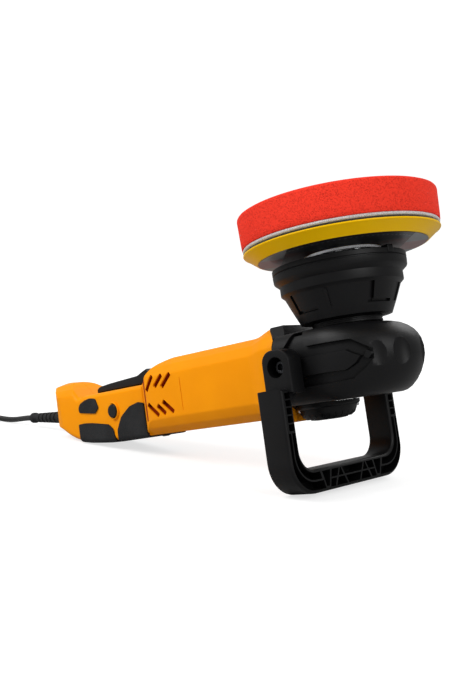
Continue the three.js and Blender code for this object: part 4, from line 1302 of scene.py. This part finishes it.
# ------------------------------------------------------------------ D-handle
@dataclass
class DHandle:
    """The D-handle: lugs on the head, a broad moulded loop and ribs open to the front."""

    half: float = 70.25
    inner: float = 58.5
    bottom: float = -89.25
    bar_top: float = -72.0
    back: float = -38.7
    front: float = -15.1
    pivot: Point2 = (-24.0, 4.0)
    rungs: tuple[float, ...] = (-14.4, -19.8, -25.2, -31.0, -37.0, -42.9)
    pocket: float = 12.0
    bolt_well: float = 7.7

    def build(self) -> None:
        """Makes the handle and its two bolts."""
        loop = slab([(-self.half, -12), (-self.half, self.bottom), (self.half, self.bottom), (self.half, -12),
                     (47.3, -12), (self.inner, -23), (self.inner, self.bar_top), (-self.inner, self.bar_top),
                     (-self.inner, -23), (-47.3, -12)], Axis.X, self.back, self.front,
                    {1: 25.0, 2: 25.0, 6: 15.0, 7: 15.0}, 12, 2.6, 4)
        steps = []
        for side in (-1, 1):
            steps.append((Work.ADD, self.lug(side)))
            for cell in self.arm_cells(side) + self.bar_cells(side):
                steps.append((Work.CUT, slab(cell[0], Axis.X, self.front - self.pocket, self.front + 5,
                                                 cell[1], 10)))
            near, far = sorted((side * 51.0, side * 63.0))
            steps.append((Work.CUT, rod(self.bolt_well, near, far, Axis.Y,
                                        (self.pivot[0], 0, self.pivot[1]), 48)))
        piece(combined(loop, steps), "handle_loop", BLACK.material(), "handle", ["d_handle"],
              bevel=0.28, crease=30)
        for name, side in (("left", -1), ("right", 1)):
            self.bolt(name, side)

    def lug(self, side: int) -> Mesh:
        """One rounded lug with a soft-cornered foot.

        Args:
            side: -1 for the near one, 1 for the far one.

        Returns:
            The closed shape.
        """
        x, z = self.pivot
        low, high = sorted((side * 47.2, side * 62.0))
        return slab([(x - 13, -16), (x + 13, -16), (x + 13, z + 13), (x - 13, z + 13)], Axis.Y, low, high,
                    {2: 9.5, 3: 9.5}, 10, 1.4, 3)

    def arm_cells(self, side: int) -> list[tuple[list[Point2], Optional[dict[int, float]]]]:
        """The pockets of one arm: short ladder cells, then two long ones round the corner.

        Args:
            side: -1 for the near arm, 1 for the far one.

        Returns:
            Each pocket's outline and the rounding of its corners.
        """
        cells: list[tuple[list[Point2], Optional[dict[int, float]]]] = []
        for high, low in zip(self.rungs, self.rungs[1:]):
            cells.append(([(side * 60.9, high - 0.55), (side * 66.6, high - 0.55), (side * 66.6, low + 0.55),
                           (side * 60.9, low + 0.55)], None))
        outer = [(67.9, -44), (65.4, -44), (65.4, -80.8), (36.5, -80.8), (34.9, -86.9), (67.9, -86.9)]
        inner = [(64.2, -44), (60.7, -44), (60.7, -74.2), (39.5, -74.2), (38.0, -79.6), (64.2, -79.6)]
        cells.append(([(side * y, z) for y, z in outer], {2: 20.5, 5: 22.0}))
        cells.append(([(side * y, z) for y, z in inner], {2: 16.0, 5: 19.0}))
        return cells

    def bar_cells(self, side: int) -> list[tuple[list[Point2], None]]:
        """One half of the truss in the bar, the middle cells included once.

        Args:
            side: -1 for the near half, 1 for the far one.

        Returns:
            Each cell's outline, with no rounding.
        """
        top, upper, lower, base = -74.3, -80.0, -81.1, -86.9
        half = [
            [(-37.2, top), (-27.6, top), (-30.4, base + 1.2), (-33.8, base + 1.2)],
            [(-25.9, top), (-17.2, top), (-20.0, upper), (-27.4, upper)],
            [(-15.8, top + 0.3), (-15.0, top + 0.3), (-12.2, upper), (-18.4, upper)],
            [(-27.7, lower), (-20.9, lower), (-23.4, base), (-29.2, base)],
            [(-18.9, lower), (-11.4, lower), (-8.4, base), (-21.8, base)],
        ]
        cells = [[(-side * y, z) for y, z in cell] for cell in half]
        if side > 0:
            cells += [[(-13.4, top), (13.4, top), (10.6, upper), (-10.6, upper)],
                      [(-9.8, lower), (9.8, lower), (7.0, base), (-7.0, base)]]
        return [(cell, None) for cell in cells]

    def bolt(self, name: str, side: int) -> None:
        """A cap bolt with a hexagonal socket.

        Args:
            name: left or right.
            side: -1 for the near one, 1 for the far one.
        """
        profile = [(0, 36), (3, 36), (3, 51.3), (4.4, 51.3), (4.7, 51.7), (4.7, 55.9), (4.3, 56.3), (0, 56.3)]
        cap = turned([(r, side * t) for r, t in profile], Axis.Y, (self.pivot[0], 0, self.pivot[1]), 40)
        socket = bmesh.new()
        bmesh.ops.create_cone(socket, cap_ends=True, segments=6, radius1=2.9, radius2=2.9, depth=6.0,
                              matrix=Matrix.Translation((self.pivot[0], side * 56.3, self.pivot[1]))
                              @ Matrix.Rotation(math.radians(90), 4, "X"))
        piece(combined(cap, [(Work.CUT, socket)]), f"{name}_bolt", BLUED.material(), "root",
              [f"{name}_handle_bolt"], bevel=0.15)


# ------------------------------------------------------------------ motor housing
def dial_slot() -> Mesh:
    """The opening under the tool through which the speed wheel shows."""
    return block((-233, -3.6, -40), (-212, 3.6, -20))


@dataclass
class MotorHousing:
    """The orange barrel: facetted sides, flared front collar, vents and sloping rear shoulder."""

    front: float = -48.15
    rear: float = -218.9
    half: float = 31.5
    top: float = 33.0
    vents: tuple[tuple[float, float, float, float], ...] = (
        (-201.3, 13.2, -50.0, 16.6), (-188.9, 14.0, -41.0, 15.0), (-178.6, 13.2, -40.0, 17.0),
        (-199.4, -10.6, 40.0, 18.4), (-188.2, -11.4, 40.0, 13.4), (-179.0, -9.8, 39.0, 17.4))

    def build(self) -> None:
        """Makes the barrel."""
        profile = [(self.half, -19.0), (self.half, 19.0), (27.4, 26.8), (18.5, self.top), (-18.5, self.top),
                   (-27.4, 26.8), (-self.half, 19.0), (-self.half, -19.0), (-27.4, -27.0), (-18.5, -self.top),
                   (18.5, -self.top), (27.4, -27.0)]
        bm = bmesh.new()
        verts = [bm.verts.new((self.front, y, z)) for y, z in profile]
        for a, b in zip(verts, verts[1:] + verts[:1]):
            bm.edges.new((a, b))
        bmesh.ops.bevel(bm, geom=verts, offset=1.3, segments=3, profile=0.5, material=-1, affect="VERTICES")
        stations = [(self.front, 1.13), (-57.5, 1.135), (-61, 1.125), (-66, 1.085), (-71, 1.04), (-75, 1.012),
                    (-79, 1.0), (-160, 1.0), (self.rear, 1.0)]
        verts, ring, before = bm.verts[:], bm.edges[:], 1.0
        for i, (x, size) in enumerate(stations):
            if i:
                verts, ring = carried_on(bm, ring)
            bmesh.ops.translate(bm, vec=(x - verts[0].co.x, 0, 0), verts=verts)
            bmesh.ops.scale(bm, vec=(1, size / before, size / before), verts=verts)
            before = size
        from_side = [(-20, -60), (self.rear - 5, -60), (self.rear - 5, 13.4), (-212.5, 14.6), (-203.5, 24.0),
                     (-195, 29.4), (-185, 31.8), (-174, 33.6), (-20, 60)]
        from_above = [(-20, -50), (-188, -31.9), (-201, -31.5), (-208.5, -30.2), (-214, -27.6),
                      (self.rear - 0.5, -23.9)]
        steps = [
            (Work.KEEP, slab(from_side, Axis.Y, -60, 60, {i: 3.0 for i in range(3, 7)}, 5)),
            (Work.KEEP, slab(mirrored(from_above, (1, -1)), Axis.Z, -70, 70)),
        ]
        for side in (-1, 1):
            for slot in self.vents:
                steps.append((Work.CUT, self.vent(side, *slot)))
            steps.append((Work.CUT, self.panel_line(side)))
        steps.append((Work.CUT, dial_slot()))
        steps.append((Work.CUT, rod(25.4, -50, -24, Axis.Z, (-30, 0, 0), 64)))
        piece(combined(sealed(bm), steps), "barrel_moulding", self.dressed(), "root", ["motor_housing"],
              bevel=0.3, crease=24)

    def vent(self, side: int, x: float, z: float, lean: float, length: float) -> Mesh:
        """A slanted slot with round ends.

        Args:
            side: -1 for the near side, 1 for the far one.
            x: its middle along the motor.
            z: its middle's height.
            lean: its slope in degrees, falling forward.
            length: from end to end.

        Returns:
            The cutter.
        """
        half = length / 2
        slot = slab([(-half, -2.3), (half, -2.3), (half, 2.3), (-half, 2.3)], Axis.Y, -4.0, 4.0,
                    {0: 1.1, 1: 1.1, 2: 1.1, 3: 1.1}, 5)
        turn = Matrix.Rotation(math.radians(lean), 4, "Y")
        return moved(slot, Matrix.Translation((x, side * (self.half - 0.6), z)) @ turn)

    def panel_line(self, side: int) -> Mesh:
        """The short upright joint ahead of the vents.

        Args:
            side: -1 for the near side, 1 for the far one.

        Returns:
            The cutter.
        """
        edge = side * self.half
        low, high = sorted((edge - side * 0.7, edge + side * 3))
        return block((-160.5, low, -14.5), (-159.9, high, 14.0))

    def dressed(self) -> bpy.types.Material:
        """The orange, with painted shade in the vents.

        Returns:
            The material.
        """
        plastic = replace(ORANGE, name="barrel_orange")

        def painted_vent_shade(shader: Shader, base: Socket) -> Socket:
            """Paints shade on what lies under the outer wall, in the vents."""
            x, y, z = shader.tool()
            # painted shade: a mask of the vent floors under the outer wall
            recess_shade = (abs(y) < self.half - 1.5) * (abs(z) < 20.0) * (x < -150.0) * (x > -213.0)
            # painted shade: a dark orange-red laid over the vent floors
            return shader.mix(base, (0.34, 0.03, 0.002), recess_shade)

        return plastic.material(tint=painted_vent_shade)


# ------------------------------------------------------------------ rear grip and controls
@dataclass
class RearGrip:
    """The orange grip in two halves, its rubber patches, trigger, lock button and dial."""

    half: float = 24.0
    button: Point3 = (-265.5, 0.0, -5.3)
    wheel: Point3 = (-222.5, 0.0, -26.5)
    screw_places: tuple[Point3, ...] = ((-345.0, 0.0, 16.0), (-345.0, 0.0, -14.0))
    outline: tuple[Point2, ...] = (
        (-219.1, -33.0), (-262, -33.6), (-278, -33.3), (-293, -32.4), (-309, -31.2), (-324, -29.2),
        (-333, -26.6), (-341, -23.2), (-348, -19.4), (-354.5, -15.4), (-362, -11.8), (-371, -9.4),
        (-379, -5.6), (-383.2, 0.6), (-384.6, 7.4), (-384.2, 14), (-381.6, 20.4), (-377, 25.6), (-370, 29.6),
        (-361, 31.8), (-352, 32), (-344.5, 30.6), (-338, 27.6), (-332.5, 23.4), (-327, 17.4), (-322.5, 12.6),
        (-317.5, 13.3), (-311, 14.5), (-219.1, 14.3))

    def build(self) -> None:
        """Makes the grip and everything on it."""
        for name, side in (("left", -1), ("right", 1)):
            self.shell_half(name, side)
        self.rubbers()
        self.trigger()
        self.lock_button()
        self.dial()
        self.screws()

    def body(self, offset: float = 0.0) -> Mesh:
        """The grip's whole shape, grown or shrunk.

        Args:
            offset: how far its surface stands out, in mm.

        Returns:
            The closed shape.
        """
        corners = {i: 2.2 for i in range(1, len(self.outline) - 1)}
        bm = slab(self.outline, Axis.Y, -self.half, self.half, corners, 3, 13.0, 8)
        plan = mirrored([(-210, 24.2), (-346, 24.2), (-352, 23.8), (-358, 22.2), (-364, 19.2),
                         (-369.5, 14.4), (-373.5, 8.4), (-375.5, 2)], (1, -1))
        front = mirrored([(30, -60), (30, 8), (24.2, 10), (23.2, 17), (19.4, 23.6), (13, 29), (5, 32.4)],
                         (-1, 1))
        bm = combined(bm, [(Work.KEEP, slab(plan, Axis.Z, -70, 70)),
                           (Work.KEEP, slab(front, Axis.X, -420, -190))])
        if offset:
            grow = (1 + offset / 78.0, 1 + offset / 24.0, 1 + offset / 25.0)
            bmesh.ops.scale(bm, vec=grow, space=Matrix.Translation((309.0, 0, 4.0)), verts=bm.verts[:])
        return bm

    def shell_half(self, name: str, side: int) -> None:
        """One orange half with its screw seats, button well and trigger opening.

        Args:
            name: left or right.
            side: -1 for the near half, 1 for the far one.
        """
        low, high = sorted((side * 0.12, side * 60.0))
        steps = [
            (Work.KEEP, block((-400, low, -60), (-200, high, 60))),
            (Work.CUT, block((-309.2, -9.8, 6.0), (-223.0, 9.8, 40), 0.8)),
            (Work.CUT, dial_slot()),
            (Work.CUT, rod(7.1, -368, -400, Axis.X, (0, 0, -1.7), 40)),
        ]
        if side < 0:
            steps.append((Work.CUT, rod(7.0, -30, -15, Axis.Y, self.button, 48)))
        else:
            steps += [(Work.CUT, rod(3.6, 19, 30, Axis.Y, place)) for place in self.screw_places]
        piece(combined(self.body(), steps), f"{name}_grip_shell", ORANGE.material(), "root",
              [f"{name}_grip_half"], bevel=0.35, crease=32)

    def rubbers(self) -> None:
        """The four soft patches."""
        heel = [(-319, -1.6), (-319.2, 3.3), (-316, 7), (-308, 9.6), (-300, 10.8), (-291.5, 9.4),
                (-287.6, 0.2), (-293.5, -4.8)]
        palm = [(-322, -45), (-322, -13), (-312, -12.6), (-300, -13.5), (-275, -17), (-268.5, -22),
                (-264, -45)]
        front = [(-262.5, -45), (-261.6, -23.7), (-254, -12), (-240, -3.5), (-227, -1.0), (-220.4, -2.6),
                 (-219.4, -45)]
        for name, area, low, high in (
                ("left_heel", heel, -40, -8), ("right_heel", heel, 8, 40), ("palm", palm, -40, 40),
                ("front", front, -40, 40)):
            corners = {i: 1.6 for i, point in enumerate(area) if point[1] > -40}
            patch = combined(self.body(1.25), [
                (Work.KEEP, slab(area, Axis.Y, low, high, corners, 4)),
                (Work.CUT, self.body(0.12)), (Work.CUT, dial_slot())])
            piece(patch, f"{name}_patch", RUBBER.material(), "root", [f"{name}_rubber"],
                  bevel=0.4, crease=34)

    def trigger(self) -> None:
        """The long paddle with finger grooves and a raised front lip."""
        outline = [(-307.6, 15.4), (-224.8, 15.4), (-224.2, 25.6), (-228.5, 29.8), (-236, 27.6), (-244, 24.6),
                   (-268, 23.6), (-290, 22.6), (-303, 21.4), (-307.6, 19.4)]
        corners = {i: 1.8 for i in range(3, 10)}
        paddle = slab(outline, Axis.Y, -8.9, 8.9, corners, 4, 1.7, 4)
        steps = [(Work.CUT, rod(1.0, -12, 12, Axis.Y, (-286 + 6 * i, 0, 25.0), 20)) for i in range(5)]
        steps.append((Work.ADD, block((-272, -4, 14.4), (-262, 4, 16.6))))
        piece(combined(paddle, steps), "trigger_paddle_moulding", SMOOTH_BLACK.material(), "trigger_paddle",
              ["trigger"], bevel=0.25)

    def lock_button(self) -> None:
        """The lock-on button with a dished face, and the orange guard at its front."""
        button = turned([(0, -26.2), (4.4, -26.4), (5.8, -26.3), (6.4, -25.6), (6.5, -19.5), (0, -19.5)],
                        Axis.Y, self.button, 64)
        piece(button, "lock_knob_cap", SMOOTH_BLACK.material(), "lock_knob", ["lock_button"])
        guard = turned([(7.1, -23.0), (8.6, -23.0), (8.5, -25.4), (8.0, -25.9), (7.4, -25.6), (7.1, -24.9)],
                       Axis.Y, self.button, 64)
        guard = combined(guard, [(Work.CUT, block((-290, -40, -30), (-266.5, -10, 20)))])
        piece(guard, "lock_guard", ORANGE.material(), "root", [], crease=40)

    def dial(self) -> None:
        """The speed wheel with a knurled rim."""
        wheel = turned([(0, -3), (8.2, -3), (8.9, -2.3), (8.9, 2.3), (8.2, 3), (0, 3)], Axis.Y,
                       self.wheel, 72)
        steps = []
        for i in range(24):
            turn = math.tau * i / 24
            place = (self.wheel[0] + 9.1 * math.cos(turn), 0, self.wheel[2] + 9.1 * math.sin(turn))
            steps.append((Work.CUT, rod(0.55, -4, 4, Axis.Y, place, 8)))
        piece(combined(wheel, steps), "speed_wheel", SMOOTH_BLACK.material(), "dial_wheel", ["speed_dial"])

    def screws(self) -> None:
        """Two cross-head screws on the far half."""
        for number, (x, y, z) in enumerate(self.screw_places, 1):
            head = turned([(0, 19.4), (3.1, 19.4), (3.1, 20.4), (2.2, 21.6), (0, 22.0)], Axis.Y,
                          (x, y, z), 32)
            steps = [(Work.CUT, block((x - a, 20.6, z - b), (x + a, 23, z + b)))
                     for a, b in ((1.8, 0.4), (0.4, 1.8))]
            piece(combined(head, steps), f"grip_screw_head_{number}", STEEL.material(), "root",
                  [f"grip_screw_{number}"])


# ------------------------------------------------------------------ carried-over pieces
@dataclass
class InnerWorks:
    """The motor, gears, bearings and fixings that keep their CAD shape."""

    finishes: tuple[tuple[Union[MouldedPlastic, Metal], tuple[str, ...]], ...] = (
        (STEEL, ("front_armature_bearing", "upper_spindle_bearing", "lower_spindle_bearing",
                 "rear_armature_bearing", "trigger_spring", "armature_shaft", "spindle", "carrier_bearing",
                 "pad_shaft", "pad_bolt")),
        (DARK_STEEL, ("stator_core", "armature_core", "bevel_pinion", "bevel_wheel")),
        (CAST, ("bearing_plate", "eccentric_carrier")),
        (COPPER, ("upper_field_coil", "lower_field_coil", "left_brush_holder", "right_brush_holder",
                  "commutator")),
        (CARBON, ("left_carbon_brush", "right_carbon_brush")),
        (BOARD, ("speed_board",)),
        (BLACK, ("bearing_collar", "rear_bearing_bracket", "trigger_switch", "cord_clamp", "cooling_fan")),
    )

    def dress(self) -> None:
        """Gives each CAD node that still shows its finish."""
        for finish, nodes in self.finishes:
            material = finish.material()
            for node in nodes:
                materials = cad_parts[node].data.materials
                materials.clear()
                materials.append(material)
                log.info("node %s: %s", node, finish.name)


def main() -> None:
    """Builds the scene piece by piece."""
    stage = Stage()
    stage.camera()
    stage.build()
    lead = Lead()
    lead.build(lead.build_relief(), lead.build_plug(), lead.build_tie())
    for assembly in ASSEMBLIES:
        log.info("assembly %s", assembly.__name__)
        assembly().build()
    InnerWorks().dress()


ASSEMBLIES: list[type] = [PadStack, Shroud, GearHead, DHandle, MotorHousing, RearGrip]


if __name__ == "__main__":
    main()
